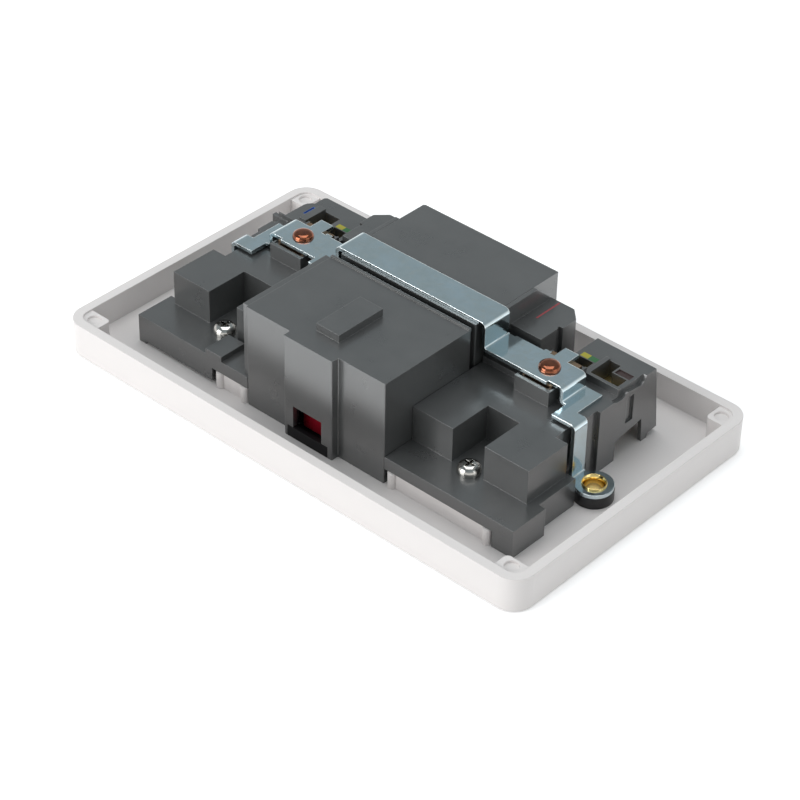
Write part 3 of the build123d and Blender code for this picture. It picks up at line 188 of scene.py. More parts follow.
class Graph:
    """One material or the world, built node by node."""

    def __init__(self, owner, coordinates="Object"):
        owner.use_nodes = True
        self.owner = owner
        self.tree = owner.node_tree
        self.tree.nodes.clear()
        self.place = self.node("ShaderNodeTexCoord", {}, {}, coordinates)

    def node(self, kind, settings, values, output=0):
        """Adds a node: its settings first, then its sockets' values or links. Gives one output."""
        made = self.tree.nodes.new(kind)
        for key, value in settings.items():
            if key == "stops":
                self._set_stops(made.color_ramp, value)
            else:
                setattr(made, key, value)
        for key, value in values.items():
            if isinstance(value, Signal):
                self.tree.links.new(value.socket, made.inputs[key])
            else:
                made.inputs[key].default_value = value
        if not made.outputs:
            return None
        return Signal(self, made.outputs[output])

    @staticmethod
    def _set_stops(ramp, stops):
        while len(ramp.elements) < len(stops):
            ramp.elements.new(1.0)
        for element, (position, colour) in zip(ramp.elements, stops):
            element.position = position
            element.color = rgba(colour)

    def axes(self):
        """The place on the piece as three numbers, in millimetres."""
        scaled = self.node("ShaderNodeVectorMath", {"operation": "SCALE"},
                           {0: self.place, "Scale": 1 / MM})
        split = self.node("ShaderNodeSeparateXYZ", {}, {0: scaled})
        outputs = split.socket.node.outputs
        return [Signal(self, outputs[i]) for i in range(3)]

    def mapped(self, stretch):
        """The place on the piece, in units of a vector's three lengths."""
        return self.node("ShaderNodeMapping", {"vector_type": "TEXTURE"},
                         {"Vector": self.place, "Scale": stretch})

    def noise(self, size_mm, detail=3.0, roughness=0.55, stretch=(1.0, 1.0, 1.0)):
        """Smooth noise whose lumps are about size_mm across, stretched along an axis if asked."""
        scale = tuple(size_mm * MM * s for s in stretch)
        values = {"Vector": self.mapped(scale), "Scale": 1.0, "Detail": detail, "Roughness": roughness}
        return self.node("ShaderNodeTexNoise", {"noise_dimensions": "3D"}, values)

    def cells(self, size_mm, feature="F1"):
        """Distance to the nearest of scattered points, about size_mm apart."""
        scale = (size_mm * MM,) * 3
        values = {"Vector": self.mapped(scale), "Scale": 1.0}
        return self.node("ShaderNodeTexVoronoi", {"feature": feature}, values)

    def mix(self, factor, first, second):
        """One colour over another by a factor."""
        return self.node("ShaderNodeMix", {"data_type": "RGBA"}, {0: factor, 6: first, 7: second}, 2)

    def soft_edges(self, radius_mm):
        """A normal that rounds sharp edges."""
        return self.node("ShaderNodeBevel", {"samples": 6}, {"Radius": radius_mm * MM})

    def edge_highlight_mask(self, softened):
        """1 along sharp edges and 0 on flat faces, by how far the rounded normal leans: where a painted edge
        highlight goes.
        """
        flat = self.node("ShaderNodeNewGeometry", {}, {}, "True Normal")
        agree = self.node("ShaderNodeVectorMath", {"operation": "DOT_PRODUCT"},
                          {0: softened, 1: flat}, "Value")
        return agree.ramp(0.82, 0.985, start=1.0, end=0.0)

    def bump(self, height, depth_mm, strength, normal):
        """A normal raised by a height from 0 to 1 that stands for depth_mm."""
        values = {"Strength": strength, "Distance": depth_mm * MM, "Height": height, "Normal": normal}
        return self.node("ShaderNodeBump", {}, values)

    def surface(self, **values):
        """Ends the material in one shader with these inputs."""
        named = {key.replace("_", " "): value for key, value in values.items()}
        shader = self.node("ShaderNodeBsdfPrincipled", {}, named)
        self.node("ShaderNodeOutputMaterial", {}, {"Surface": shader})
        return self.owner


def rgba(colour):
    """A colour as a shader's four numbers."""
    return (colour[0], colour[1], colour[2], 1.0)


def tinted(colour, factor):
    """The same colour, lighter or darker."""
    return tuple(min(1.0, c * factor) for c in colour[:3]) + (1.0,)


def inside(value, low, high):
    """1 between two limits and 0 elsewhere, with slightly soft edges."""
    enters = value.ramp(low - MARK_EDGE_MM, low + MARK_EDGE_MM)
    return enters * value.ramp(high - MARK_EDGE_MM, high + MARK_EDGE_MM, start=1.0, end=0.0)


# Finishes

def white_moulding(name, look):
    """Glossy white moulding compound with faint flow clouding and a few dust specks."""
    g = Graph(bpy.data.materials.new(name))
    cloud = g.noise(size_mm=18.0, detail=4.0)
    fine = g.noise(size_mm=0.35, detail=2.0)
    specks = g.cells(size_mm=5.5).ramp(0.012, 0.03, start=1.0, end=0.0)
    colour = g.mix(cloud.ramp(0.35, 0.7), tinted(look.white, 0.985), rgba(look.white))
    colour = g.mix(specks * 0.25, colour, tinted(look.white, 0.72))
    rough = cloud.ramp(0.3, 0.7, start=0.27, end=0.34) + fine * 0.05
    normal = g.bump(fine, depth_mm=0.006, strength=0.5, normal=g.soft_edges(0.22))
    return g.surface(Base_Color=colour, Roughness=rough, Normal=normal, IOR=1.5)


def grey_moulding(name, look, marks=()):
    """Satin grey moulding: spark-eroded grain, flow clouding, painted highlights along the edges and coloured
    marks.
    """
    g = Graph(bpy.data.materials.new(name))
    x, y, z = g.axes()
    cloud = g.noise(size_mm=9.0, detail=5.0, roughness=0.6)
    streak = g.noise(size_mm=4.0, detail=4.0, roughness=0.6, stretch=(1.0, 1.0, 4.0))
    grain = g.noise(size_mm=0.16, detail=3.0, roughness=0.6)
    pits = g.cells(size_mm=0.42)
    specks = g.cells(size_mm=3.6).ramp(0.01, 0.028, start=1.0, end=0.0)
    colour = g.mix(cloud.ramp(0.3, 0.72), tinted(look.grey, 0.93), tinted(look.grey, 1.07))
    colour = g.mix(streak.ramp(0.52, 0.75) * 0.35, colour, tinted(look.grey, 1.16))
    colour = g.mix(specks * 0.45, colour, tinted(look.grey, 2.1))
    softened = g.soft_edges(0.22)
    # Sharp edges are painted lighter, patchy by the cloud: a painted edge highlight.
    painted_edge_highlight = g.edge_highlight_mask(softened) * cloud.ramp(0.3, 0.6, start=0.35, end=0.8)
    colour = g.mix(painted_edge_highlight, colour, tinted(look.grey, 2.2))
    painted = 0.0
    for (x0, x1), (y0, y1), height, paint in marks:
        spot = inside(x, x0, x1) * inside(y, y0, y1) * (z > height)
        colour = g.mix(spot, colour, rgba(paint))
        painted = painted + spot
    rough = cloud.ramp(0.3, 0.7, start=0.24, end=0.33) + grain * 0.05 + painted * 0.3
    height = grain * 0.6 + pits * 0.4
    normal = g.bump(height, depth_mm=0.008, strength=0.5, normal=softened)
    coat = 0.9 * (1.0 - painted)
    return g.surface(Base_Color=colour, Roughness=rough, Normal=normal, IOR=1.75, Coat_Weight=coat,
                     Coat_Roughness=0.2, Coat_IOR=1.65)


def plain_moulding(name, colour, roughness, index=1.5):
    """Small moulded piece: even colour with fine grain."""
    g = Graph(bpy.data.materials.new(name))
    cloud = g.noise(size_mm=3.0, detail=3.0)
    grain = g.noise(size_mm=0.12, detail=2.0)
    mixed = g.mix(cloud.ramp(0.35, 0.7), tinted(colour, 0.9), tinted(colour, 1.1))
    rough = cloud.ramp(0.3, 0.7, start=roughness - 0.04, end=roughness + 0.05)
    normal = g.bump(grain, depth_mm=0.006, strength=0.5, normal=g.soft_edges(0.12))
    return g.surface(Base_Color=mixed, Roughness=rough, Normal=normal, IOR=index)


def zinc_plate(name, look):
    """Zinc-plated strip: rolling streaks, bluish and straw bloom, fine scratches, painted highlights along
    the edges.
    """
    g = Graph(bpy.data.materials.new(name))
    bloom = g.noise(size_mm=5.0, detail=5.0, roughness=0.62)
    haze = g.noise(size_mm=1.6, detail=4.0, roughness=0.6)
    rolled = g.noise(size_mm=0.22, detail=3.0, roughness=0.6, stretch=(40.0, 1.0, 1.0))
    lines = g.noise(size_mm=0.09, detail=2.0, roughness=0.5, stretch=(60.0, 2.0, 2.0))
    scratch = lines.ramp(0.62, 0.72)
    colour = g.mix(bloom.ramp(0.35, 0.68), rgba(look.zinc), rgba(BLUISH_BLOOM))
    colour = g.mix(haze.ramp(0.55, 0.8) * 0.4, colour, rgba(STRAW_BLOOM))
    colour = g.mix(scratch * 0.3, colour, rgba(ZINC_SCRATCH))
    softened = g.soft_edges(0.3)
    # Sharp edges are painted near-white: a painted edge highlight.
    colour = g.mix(g.edge_highlight_mask(softened) * 0.8, colour, rgba(ZINC_EDGE_HIGHLIGHT))
    rough = haze.ramp(0.3, 0.75, start=0.06, end=0.16) + rolled * 0.04
    normal = g.bump(rolled * 0.7 + haze * 0.5, depth_mm=0.006, strength=0.4, normal=softened)
    return g.surface(Base_Color=colour, Metallic=1.0, Roughness=rough, Normal=normal)


def bare_metal(name, colour, tarnish, rough_low, rough_high, relief_mm=0.012):
    """Brass, copper or nickel: drawn grain with cloudy tarnish."""
    g = Graph(bpy.data.materials.new(name))
    cloud = g.noise(size_mm=2.2, detail=4.0, roughness=0.6)
    grain = g.noise(size_mm=0.3, detail=3.0, roughness=0.6)
    mixed = g.mix(cloud.ramp(0.45, 0.75), rgba(colour), rgba(tarnish))
    rough = cloud.ramp(0.3, 0.75, start=rough_low, end=rough_high) + grain * 0.05
    normal = g.bump(grain, depth_mm=relief_mm, strength=0.4, normal=g.soft_edges(0.1))
    return g.surface(Base_Color=mixed, Metallic=1.0, Roughness=rough, Normal=normal)


def turned_metal(name, colour, tarnish, centre, polish, edge_mm, coat=0.0):
    """Metal with rings about an upright axis and its mirror image, as a riveted head has."""
    g = Graph(bpy.data.materials.new(name))
    x, y, _ = g.axes()
    aside = abs(x) - centre.x / MM
    along = y - centre.y / MM
    distance = (aside * aside + along * along) ** 0.5
    rings = g.node("ShaderNodeMath", {"operation": "SINE"}, {0: distance * RIPPLE_PER_MM})
    cloud = g.noise(size_mm=1.1, detail=4.0, roughness=0.6)
    mixed = g.mix(cloud.ramp(0.42, 0.75), rgba(colour), rgba(tarnish))
    rough = cloud.ramp(0.3, 0.75, start=polish, end=polish + 0.12)
    normal = g.bump(rings * 0.3 + cloud, depth_mm=0.012, strength=0.4, normal=g.soft_edges(edge_mm))
    return g.surface(Base_Color=mixed, Metallic=1.0, Roughness=rough, Normal=normal, Coat_Weight=coat,
                     Coat_Roughness=0.06)


def printed_board(name):
    """Green lacquered board with lighter tracks under the lacquer."""
    g = Graph(bpy.data.materials.new(name))
    tracks = g.cells(size_mm=2.4, feature="DISTANCE_TO_EDGE").ramp(0.05, 0.09, start=1.0, end=0.0)
    colour = g.mix(tracks, rgba(LACQUER), rgba(TRACK))
    normal = g.bump(tracks, depth_mm=0.035, strength=0.6, normal=g.soft_edges(0.1))
    return g.surface(Base_Color=colour, Roughness=0.32, Normal=normal, IOR=1.5)


# Settings on the panel

class OutletLook(bpy.types.PropertyGroup):
    """Colours of the outlet's materials."""

    white: bpy.props.FloatVectorProperty(
        name="White moulding", description="Colour of the front plate", subtype="COLOR",
        default=(0.785, 0.750, 0.737), min=0.0, max=1.0)
    grey: bpy.props.FloatVectorProperty(
        name="Grey moulding", description="Colour of the bases and the trip housings", subtype="COLOR",
        default=(0.052, 0.054, 0.054), min=0.0, max=1.0)
    black: bpy.props.FloatVectorProperty(
        name="Black moulding", description="Colour of the spacers and the button frame", subtype="COLOR",
        default=(0.009, 0.009, 0.010), min=0.0, max=1.0)
    flag: bpy.props.FloatVectorProperty(
        name="Status flag", description="Colour of the status flag", subtype="COLOR",
        default=(0.20, 0.004, 0.012), min=0.0, max=1.0)
    zinc: bpy.props.FloatVectorProperty(
        name="Zinc plating", description="Colour of the earth strap", subtype="COLOR",
        default=(0.66, 0.76, 0.78), min=0.0, max=1.0)
    brass: bpy.props.FloatVectorProperty(
        name="Brass", description="Colour of the contacts, clamps and eyelets", subtype="COLOR",
        default=(0.98, 0.77, 0.33), min=0.0, max=1.0)
    copper: bpy.props.FloatVectorProperty(
        name="Copper", description="Colour of the rivets", subtype="COLOR",
        default=(0.30, 0.088, 0.034), min=0.0, max=1.0)
    nickel: bpy.props.FloatVectorProperty(
        name="Nickel", description="Colour of the base screws", subtype="COLOR",
        default=(0.62, 0.61, 0.58), min=0.0, max=1.0)
    live_bar: bpy.props.FloatVectorProperty(
        name="Live mark", description="Colour of the bar beside the live clamp", subtype="COLOR",
        default=(0.026, 0.006, 0.005), min=0.0, max=1.0)
    neutral_bar: bpy.props.FloatVectorProperty(
        name="Neutral mark", description="Colour of the bar beside the neutral clamp", subtype="COLOR",
        default=(0.03, 0.12, 0.42), min=0.0, max=1.0)


class OutletHeads(bpy.types.PropertyGroup):
    """Sizes of the turned heads over the solid ones."""

    solid_head: bpy.props.FloatProperty(
        name="Solid head", description="Height of a rivet's solid head on the strap", unit="LENGTH",
        default=1.0 * MM)
    dome: bpy.props.FloatProperty(
        name="Dome", description="Height of a rivet's dome on the strap", unit="LENGTH", default=1.35 * MM)
    dome_skin: bpy.props.FloatProperty(
        name="Dome skin", description="How far the dome reaches past the solid head", unit="LENGTH",
        default=0.2 * MM)
    bore: bpy.props.FloatProperty(
        name="Eyelet bore", description="Radius of the hole through an eyelet", unit="LENGTH",
        default=2.2 * MM)
    wall: bpy.props.FloatProperty(
        name="Eyelet wall", description="Thickness of an eyelet's tube", unit="LENGTH", default=0.35 * MM)
    lip: bpy.props.FloatProperty(
        name="Eyelet lip", description="Height of an eyelet's lip", unit="LENGTH", default=0.5 * MM)
    flare: bpy.props.FloatProperty(
        name="Eyelet flare", description="How far the funnel in an eyelet opens", unit="LENGTH",
        default=0.6 * MM)


class OutletSprings(bpy.types.PropertyGroup):
    """Wire and turns of the return springs."""

    shutter_wire: bpy.props.FloatProperty(
        name="Shutter spring wire", description="Thickness of a shutter spring's wire", unit="LENGTH",
        default=0.4 * MM)
    shutter_turns: bpy.props.IntProperty(
        name="Shutter spring turns", description="Turns of a shutter spring", default=5, min=1)
    upright_wire: bpy.props.FloatProperty(
        name="Upright spring wire", description="Wire of the buttons' and the carrier's springs",
        unit="LENGTH", default=0.5 * MM)
    upright_turns: bpy.props.IntProperty(
        name="Upright spring turns", description="Turns of the buttons' and the carrier's springs",
        default=4, min=1)


class OutletStudio(bpy.types.PropertyGroup):
    """Lights and camera."""

    lens: bpy.props.FloatProperty(
        name="Lens", description="Focal length", unit="CAMERA", default=117.6, min=20.0)
    distance: bpy.props.FloatProperty(
        name="Distance", description="From the camera to the point it looks at", unit="LENGTH", default=0.636)
    azimuth: bpy.props.FloatProperty(
        name="Azimuth", description="Turn of the camera round the outlet", subtype="ANGLE",
        default=radians(41.59))
    elevation: bpy.props.FloatProperty(
        name="Elevation", description="Height of the camera above the floor", subtype="ANGLE",
        default=radians(36.98))
    roll: bpy.props.FloatProperty(
        name="Roll", description="Tilt of the camera about its own axis", subtype="ANGLE",
        default=radians(1.265))
    aim: bpy.props.FloatVectorProperty(
        name="Aim", description="Point on the floor that the camera looks at", unit="LENGTH",
        default=(0.0012, -0.0014, 0.0))
    overhead: bpy.props.FloatProperty(
        name="Overhead", description="Strength of the surroundings high above, beside white at the horizon",
        default=0.35, min=0.0)
    key: bpy.props.FloatProperty(
        name="Key light", description="Power of the large lamp at the near left", unit="POWER", default=4.6)
    side: bpy.props.FloatProperty(
        name="Side light", description="Power of the lamp at the right", unit="POWER", default=0.6)
    top: bpy.props.FloatProperty(
        name="Top light", description="Power of the lamp overhead", unit="POWER", default=3.4)


# Building blocks of the operators

def give(material, *names):
    """Puts one material on CAD nodes by assigning it to their slots."""
    for name in names:
        slots = frame["nodes"][name].data.materials
        if len(slots) == 0:
            slots.append(material)
        for index in range(len(slots)):
            slots[index] = material


def both(stem):
    """The left and right nodes of a pair."""
    return [stem + "_left", stem + "_right"]


def corners(name):
    """Lowest and highest corner of a CAD node."""
    return [Vector(corner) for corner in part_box(name)]


def middle(name):
    """Middle of a CAD node."""
    low, high = corners(name)
    return (low + high) / 2


def turned(bm, profile, x, y):
    """Spins a line of (radius, height) points once round an upright axis."""
    chain = [bm.verts.new((x + radius, y, height)) for radius, height in profile]
    edges = [bm.edges.new(pair) for pair in zip(chain, chain[1:])]
    bmesh.ops.spin(bm, geom=chain + edges, cent=(x, y, 0.0), axis=UP, angle=radians(360.0),
                   steps=TURN_STEPS, use_merge=True)


def wound(bm, radius, wire, turns, length):
    """Coil spring of round wire that stands on the XY plane round the Z axis."""
    start = Matrix.Translation((radius, 0.0, wire / 2)) @ Matrix.Rotation(radians(90.0), 4, "X")
    bmesh.ops.create_circle(bm, cap_ends=False, segments=WIRE_SIDES, radius=wire / 2, matrix=start)
    steps = WIRE_STEPS_A_TURN * turns
    rise = Vector(UP) * ((length - wire) / steps)
    bmesh.ops.spin(bm, geom=bm.verts[:] + bm.edges[:], cent=(0.0, 0.0, 0.0), axis=UP, dvec=rise,
                   angle=radians(360.0 * turns), steps=steps)
    bmesh.ops.holes_fill(bm, edges=[edge for edge in bm.edges if edge.is_boundary], sides=0)


def new_object(name, mesh_builder, material, crease=0.0):
    """Object at the origin whose mesh a bmesh builds, smooth except at edges sharper than the crease."""
    mesh = bpy.data.meshes.new(name)
    bm = bmesh.new()
    mesh_builder(bm)
    bmesh.ops.remove_doubles(bm, verts=bm.verts, dist=MERGE_DISTANCE)
    bmesh.ops.recalc_face_normals(bm, faces=bm.faces)
    for face in bm.faces:
        face.smooth = crease > 0.0
    for edge in bm.edges:
        edge.smooth = edge.calc_face_angle(0.0) < crease
    bm.to_mesh(mesh)
    bm.free()
    made = bpy.data.objects.new(name, mesh)
    bpy.context.scene.collection.objects.link(made)
    mesh.materials.append(material)
    return made


def area_light(name, place, size, power):
    """Square soft lamp that faces the outlet."""
    lamp = bpy.data.lights.new(name, "AREA")
    lamp.shape = "SQUARE"
    lamp.size = size
    lamp.energy = power
    made = bpy.data.objects.new(name, lamp)
    bpy.context.scene.collection.objects.link(made)
    made.location = place
    made.rotation_mode = "QUATERNION"
    made.rotation_quaternion = (Vector(LAMP_TARGET) - Vector(place)).to_track_quat("-Z", "Y")


# Operators

class OUTLET_OT_front_plate(bpy.types.Operator):
    """Finish the white front plate, the rockers, the shutters and the other white pieces"""

    bl_idname = "outlet.front_plate"
    bl_label = "Front plate"

    def execute(self, context):
        look = context.scene.outlet_look
        white = white_moulding("white_moulding", look)
        give(white, "front_plate", "test_button", *both("rocker"))
        inner = plain_moulding("white_inner_moulding", INNER_WHITE, roughness=0.4)
        give(inner, "trip_bobbin", "contact_carrier", *both("shutter"))
        return {"FINISHED"}


class OUTLET_OT_housings(bpy.types.Operator):
    """Finish the grey bases, the trip housings and the switch housings, with their coloured marks"""

    bl_idname = "outlet.housings"
    bl_label = "Grey housings"

    def execute(self, context):
        look = context.scene.outlet_look
        right_marks = (
            (*RIGHT_LIVE_BAR, look.live_bar),
            (*RIGHT_YELLOW_BAR, MARK_YELLOW),
            (*RIGHT_GREEN_BAR, MARK_GREEN),
        )
        left_marks = (
            (*LEFT_NEUTRAL_BAR, look.neutral_bar),
            (*LEFT_YELLOW_BAR, MARK_YELLOW),
            (*LEFT_GREEN_BAR, MARK_GREEN),
        )
        switch_mark = ((*SWITCH_LINE, MARK_RED),)
        plain = grey_moulding("grey_moulding", look)
        give(plain, "trip_housing_front", "trip_housing_rear", "switch_housing_left")
        give(grey_moulding("grey_moulding_right_base", look, right_marks), "socket_base_right")
        give(grey_moulding("grey_moulding_left_base", look, left_marks), "socket_base_left")
        give(grey_moulding("grey_moulding_switch", look, switch_mark), "switch_housing_right")
        return {"FINISHED"}


class OUTLET_OT_earth_metalwork(bpy.types.Operator):
    """Finish the earth strap, its rivets, the eyelets, their spacers and the button frame"""

    bl_idname = "outlet.earth_metalwork"
    bl_label = "Earth strap and rivets"

    def execute(self, context):
        look = context.scene.outlet_look
        heads = context.scene.outlet_heads
        give(zinc_plate("zinc_plate", look), "earth_strap")
        copper = turned_metal("copper_rivet", look.copper, RIVET_TARNISH, middle("earth_rivet_right"),
                              polish=0.05, edge_mm=0.1, coat=0.6)
        give(copper, *both("earth_rivet"))
        eyelet = turned_metal("brass_eyelet", look.brass, EYELET_TARNISH, middle("fixing_eyelet_right"),
                              polish=0.12, edge_mm=0.05)
        give(eyelet, *both("fixing_eyelet"))
        for rivet in both("earth_rivet"):
            self.dome(rivet, heads, copper)
        for node in both("fixing_eyelet"):
            self.flared(node, heads, eyelet)
        give(plain_moulding("black_moulding", look.black, roughness=0.34), *both("fixing_spacer"))
        give(plain_moulding("black_frame", look.black, roughness=0.45, index=1.28), "button_frame")
        return {"FINISHED"}

    @staticmethod
    def dome(rivet, heads, material):
        """Domed head over a rivet's solid one."""
        low, high = corners(rivet)
        centre = middle(rivet)
        radius = (high.x - low.x) / 2 + heads.dome_skin
        base = high.z - heads.solid_head
        turns = [radians(90.0 * step / DOME_STEPS) for step in range(DOME_STEPS + 1)]
        profile = [(radius * cos(turn) ** 0.5, base + heads.dome * sin(turn)) for turn in turns]

        def head(bm):
            turned(bm, profile, centre.x, centre.y)

        made = new_object(rivet + "_dome", head, material, SMOOTH_BELOW)
        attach(made, "body")

    @staticmethod
    def flared(node, heads, material):
        """Eyelet with a funnelled mouth and a grooved lip, in the place of the plain one."""
        low, high = corners(node)
        centre = middle(node)
        rim = (high.x - low.x) / 2
        mouth = heads.bore + heads.flare
        tube = heads.bore + heads.wall
        groove = heads.lip * 0.12
        top = high.z
        shoulder = top - heads.lip
        profile = [
            (tube, low.z),
            (tube, shoulder),
            (rim, shoulder),
            (rim, shoulder + groove),
            (rim - groove, shoulder + 2 * groove),
            (rim, shoulder + 3 * groove),
            (rim - groove, shoulder + 4 * groove),
            (rim - 0.5 * groove, top - 2 * groove),
            (rim - 1.5 * groove, top - 0.4 * groove),
            (rim - 2.5 * groove, top),
            (mouth - 0.5 * groove, top - 0.5 * groove),
            (heads.bore + 0.6 * heads.flare, top - heads.lip * 0.6),
            (heads.bore + 0.2 * heads.flare, top - heads.lip * 1.6),
            (heads.bore, top - heads.lip * 2.6),
            (heads.bore, low.z),
            (tube, low.z),
        ]

        def tube_and_lip(bm):
            turned(bm, profile, centre.x, centre.y)

        made = new_object(node + "_flared", tube_and_lip, material, EYELET_SMOOTH_BELOW)
        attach(made, "body")
        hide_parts(node)


class OUTLET_OT_contacts(bpy.types.Operator):
    """Finish the pin contacts, the clamps, the screws and the switch contacts"""

    bl_idname = "outlet.contacts"
    bl_label = "Contacts and screws"

    def execute(self, context):
        look = context.scene.outlet_look
        brass = bare_metal("stamped_brass", look.brass, BRASS_TARNISH, 0.22, 0.4)
        give(brass, "live_terminal", "neutral_terminal", "terminal_screws", *both("earth_terminal"))
        give(brass, *both("live_contact"), *both("neutral_contact"))
        # The earth contacts get darkened brass: painted shade round them beside the strap.
        shade_darkened = bare_metal("brass_in_painted_shade", SHADE_DARKENED_BRASS, SHADE_DARKENED_BRASS_TARNISH, 0.3, 0.45)
        give(shade_darkened, *both("earth_contact"))
        nickel = bare_metal("nickel_plate", look.nickel, NICKEL_TARNISH, 0.03, 0.07, relief_mm=0.002)
        give(nickel, "base_screws", "trip_plunger")
        copper = bare_metal("contact_copper", look.copper, COPPER_TARNISH, 0.25, 0.4)
        give(copper, "fixed_contacts", "bridge_contacts", *both("rocker_blade"), *both("switch_contact"))
        return {"FINISHED"}


class OUTLET_OT_trip_parts(bpy.types.Operator):
    """Finish the board, the toroid, the coils, the reset button and the flag"""

    bl_idname = "outlet.trip_parts"
    bl_label = "Trip parts"

    def execute(self, context):
        look = context.scene.outlet_look
        give(printed_board("printed_board"), "circuit_board")
        give(plain_moulding("dark_ceramic", CERAMIC, roughness=0.5), "toroid_core", "board_components")
        wire = bare_metal("enamelled_wire", ENAMEL, ENAMEL_TARNISH, 0.2, 0.32)
        give(wire, "toroid_winding", "trip_coil")
        give(plain_moulding("blue_moulding", BUTTON_BLUE, roughness=0.3), "reset_button")
        give(plain_moulding("red_flag", look.flag, roughness=0.3), "status_flag")
        return {"FINISHED"}


class OUTLET_OT_springs(bpy.types.Operator):
    """Wind the springs of the shutters, the buttons and the contact carrier"""

    bl_idname = "outlet.springs"
    bl_label = "Return springs"

    def execute(self, context):
        sizes = context.scene.outlet_springs
        joints = {joint["name"]: joint for joint in frame["record"]["behaviour"]["joints"]}
        steel = bare_metal("spring_steel", STEEL, STEEL_TARNISH, 0.24, 0.36)
        for name in both("shutter_slide"):
            self.wind(joints[name], sizes.shutter_wire, sizes.shutter_turns, steel)
        for name in ("reset_push", "test_push", "carrier_lift"):
            self.wind(joints[name], sizes.upright_wire, sizes.upright_turns, steel)
        return {"FINISHED"}

    @staticmethod
    def wind(joint, wire, turns, steel):
        """Round wire spring in the place of the solid one."""
        held = joint["deforming_nodes"][0]
        low, high = corners(held["node"])
        lies = held["mode"] == "scale_y"
        along = 1 if lies else 2
        axis = Vector((0.0, 1.0, 0.0)) if lies else Vector(UP)
        length = high[along] - low[along]
        radius = (high.x - low.x - wire) / 2
        foot = middle(held["node"]) - axis * length / 2
        turn = Matrix.Rotation(radians(-90.0 if lies else 0.0), 4, "X")

        def coil(bm):
            wound(bm, radius, wire, turns, length)
            bmesh.ops.transform(bm, matrix=Matrix.Translation(foot) @ turn, verts=bm.verts)

        made = new_object(held["node"] + "_wound", coil, steel, SMOOTH_BELOW)
        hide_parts(held["node"])
        if joint["name"] == "carrier_lift":
            foot + axis * length
            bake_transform(made)
            return
        anchor = foot.copy()
        anchor[along] = held["fixed_end_y_m" if lies else "fixed_end_z_m"]
        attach(made, "body")
        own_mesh(made)


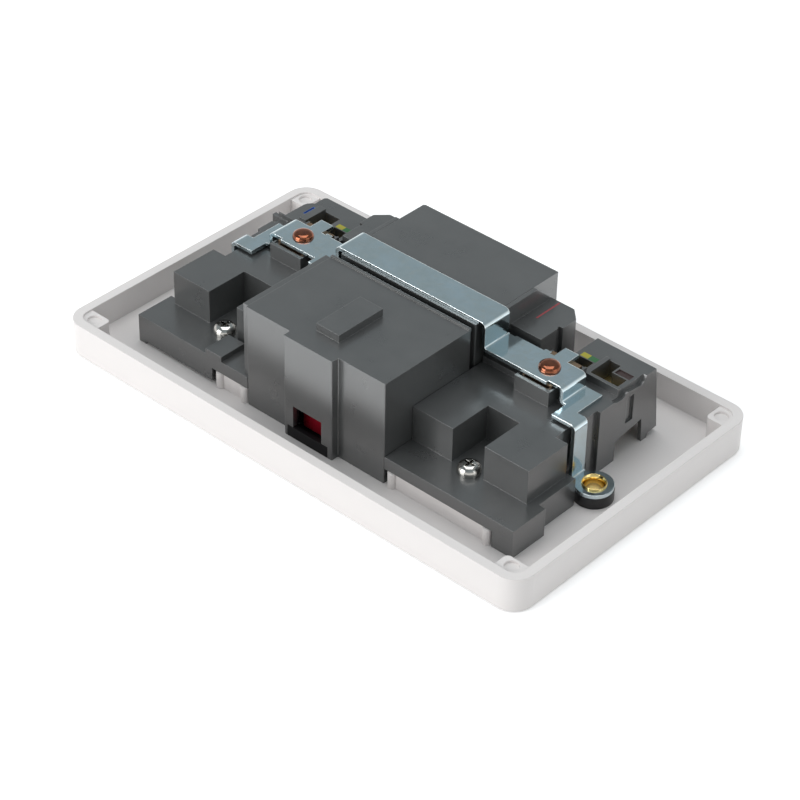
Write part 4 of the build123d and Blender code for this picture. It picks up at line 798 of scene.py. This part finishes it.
class OUTLET_OT_stage(bpy.types.Operator):
    """Set the floor, the lights, the white surroundings and the camera"""

    bl_idname = "outlet.stage"
    bl_label = "Stage"

    def execute(self, context):
        studio = context.scene.outlet_studio
        context.scene.view_settings.view_transform = "Standard"
        self.floor()
        self.surroundings(context.scene, studio)
        self.lamps(studio)
        self.camera(context.scene, studio)
        return {"FINISHED"}

    @staticmethod
    def floor():
        """White sheet that seems white to the camera but keeps the outlet's shadow."""
        g = Graph(bpy.data.materials.new("floor"))
        path = g.node("ShaderNodeLightPath", {}, {})
        outputs = path.socket.node.outputs
        seen = (Signal(g, outputs["Is Camera Ray"]) + Signal(g, outputs["Is Glossy Ray"])
                + Signal(g, outputs["Is Transmission Ray"])).clamped()
        colour = g.mix(seen, (0.80, 0.80, 0.80, 1.0), (1.0, 1.0, 1.0, 1.0))
        paper = g.node("ShaderNodeBsdfDiffuse", {}, {"Color": colour})
        glow = g.node("ShaderNodeEmission", {}, {"Color": (1.0, 1.0, 1.0, 1.0), "Strength": FLOOR_GLOW})
        lit = g.node("ShaderNodeAddShader", {}, {0: paper, 1: glow})
        shown = g.node("ShaderNodeMixShader", {}, {0: seen, 1: paper, 2: lit})
        g.node("ShaderNodeOutputMaterial", {}, {"Surface": shown})

        def sheet(bm):
            bmesh.ops.create_grid(bm, x_segments=1, y_segments=1, size=FLOOR_HALF_SIZE)
            bmesh.ops.translate(bm, verts=bm.verts, vec=(0.0, 0.0, -FLOOR_DROP))

        new_object("floor", sheet, g.owner)

    @staticmethod
    def surroundings(scene, studio):
        """Dome of plain light: white at the horizon and below, dimmer overhead."""
        g = Graph(bpy.data.worlds.new("surroundings"), "Generated")
        height = g.node("ShaderNodeSeparateXYZ", {}, {0: g.place}, 2)
        stops = ((FADE_FROM, HORIZON_WHITE), (FADE_TO, tinted(OVERHEAD_TINT, studio.overhead)))
        light = g.node("ShaderNodeValToRGB", {"stops": stops}, {0: height})
        background = g.node("ShaderNodeBackground", {}, {"Color": light})
        g.node("ShaderNodeOutputWorld", {}, {"Surface": background})
        scene.world = g.owner

    @staticmethod
    def lamps(studio):
        """Large soft lamps at the near left, at the right and overhead."""
        area_light("key_lamp", place=(-0.30, -0.80, 0.34), size=0.6, power=studio.key)
        area_light("side_lamp", place=(0.80, 0.10, 0.40), size=0.5, power=studio.side)
        area_light("top_lamp", place=(-0.1, 0.1, 0.9), size=0.7, power=studio.top)

    @staticmethod
    def camera(scene, studio):
        """Camera on a sphere round the point that it looks at, with a slight roll."""
        data = bpy.data.cameras.new("camera")
        data.sensor_width = 36.0
        data.lens = studio.lens
        made = bpy.data.objects.new("camera", data)
        scene.collection.objects.link(made)
        level = cos(studio.elevation)
        back = Vector((sin(studio.azimuth) * level, -cos(studio.azimuth) * level, sin(studio.elevation)))
        made.location = Vector(studio.aim) + back * studio.distance
        made.rotation_mode = "QUATERNION"
        facing = (-back).to_track_quat("-Z", "Y")
        made.rotation_quaternion = facing @ Quaternion(UP, studio.roll)
        data.clip_start = 0.01
        data.clip_end = 20.0
        scene.camera = made


class OUTLET_PT_panel(bpy.types.Panel):
    """Lists the outlet's pieces, colours and studio"""

    bl_idname = "OUTLET_PT_panel"
    bl_label = "Socket outlet"
    bl_space_type = "VIEW_3D"
    bl_region_type = "UI"
    bl_category = "Outlet"

    def draw(self, context):
        layout = self.layout
        for operator in OPERATORS:
            layout.operator(operator.bl_idname)
        for settings in SETTINGS:
            group = getattr(context.scene, settings)
            box = layout.box()
            for name in group.__annotations__:
                box.prop(group, name)


OPERATORS = (
    OUTLET_OT_front_plate,
    OUTLET_OT_housings,
    OUTLET_OT_earth_metalwork,
    OUTLET_OT_contacts,
    OUTLET_OT_trip_parts,
    OUTLET_OT_springs,
    OUTLET_OT_stage,
)
SETTINGS = {
    "outlet_look": OutletLook,
    "outlet_heads": OutletHeads,
    "outlet_springs": OutletSprings,
    "outlet_studio": OutletStudio,
}
CLASSES = (*SETTINGS.values(), *OPERATORS, OUTLET_PT_panel)


def register():
    for cls in CLASSES:
        bpy.utils.register_class(cls)
    for name, group in SETTINGS.items():
        setattr(bpy.types.Scene, name, bpy.props.PointerProperty(type=group))


def unregister():
    for name in SETTINGS:
        delattr(bpy.types.Scene, name)
    for cls in reversed(CLASSES):
        bpy.utils.unregister_class(cls)


def main():
    register()
    for operator in OPERATORS:
        group, name = operator.bl_idname.split(".")
        getattr(getattr(bpy.ops, group), name)()


if __name__ == "__main__":
    main()
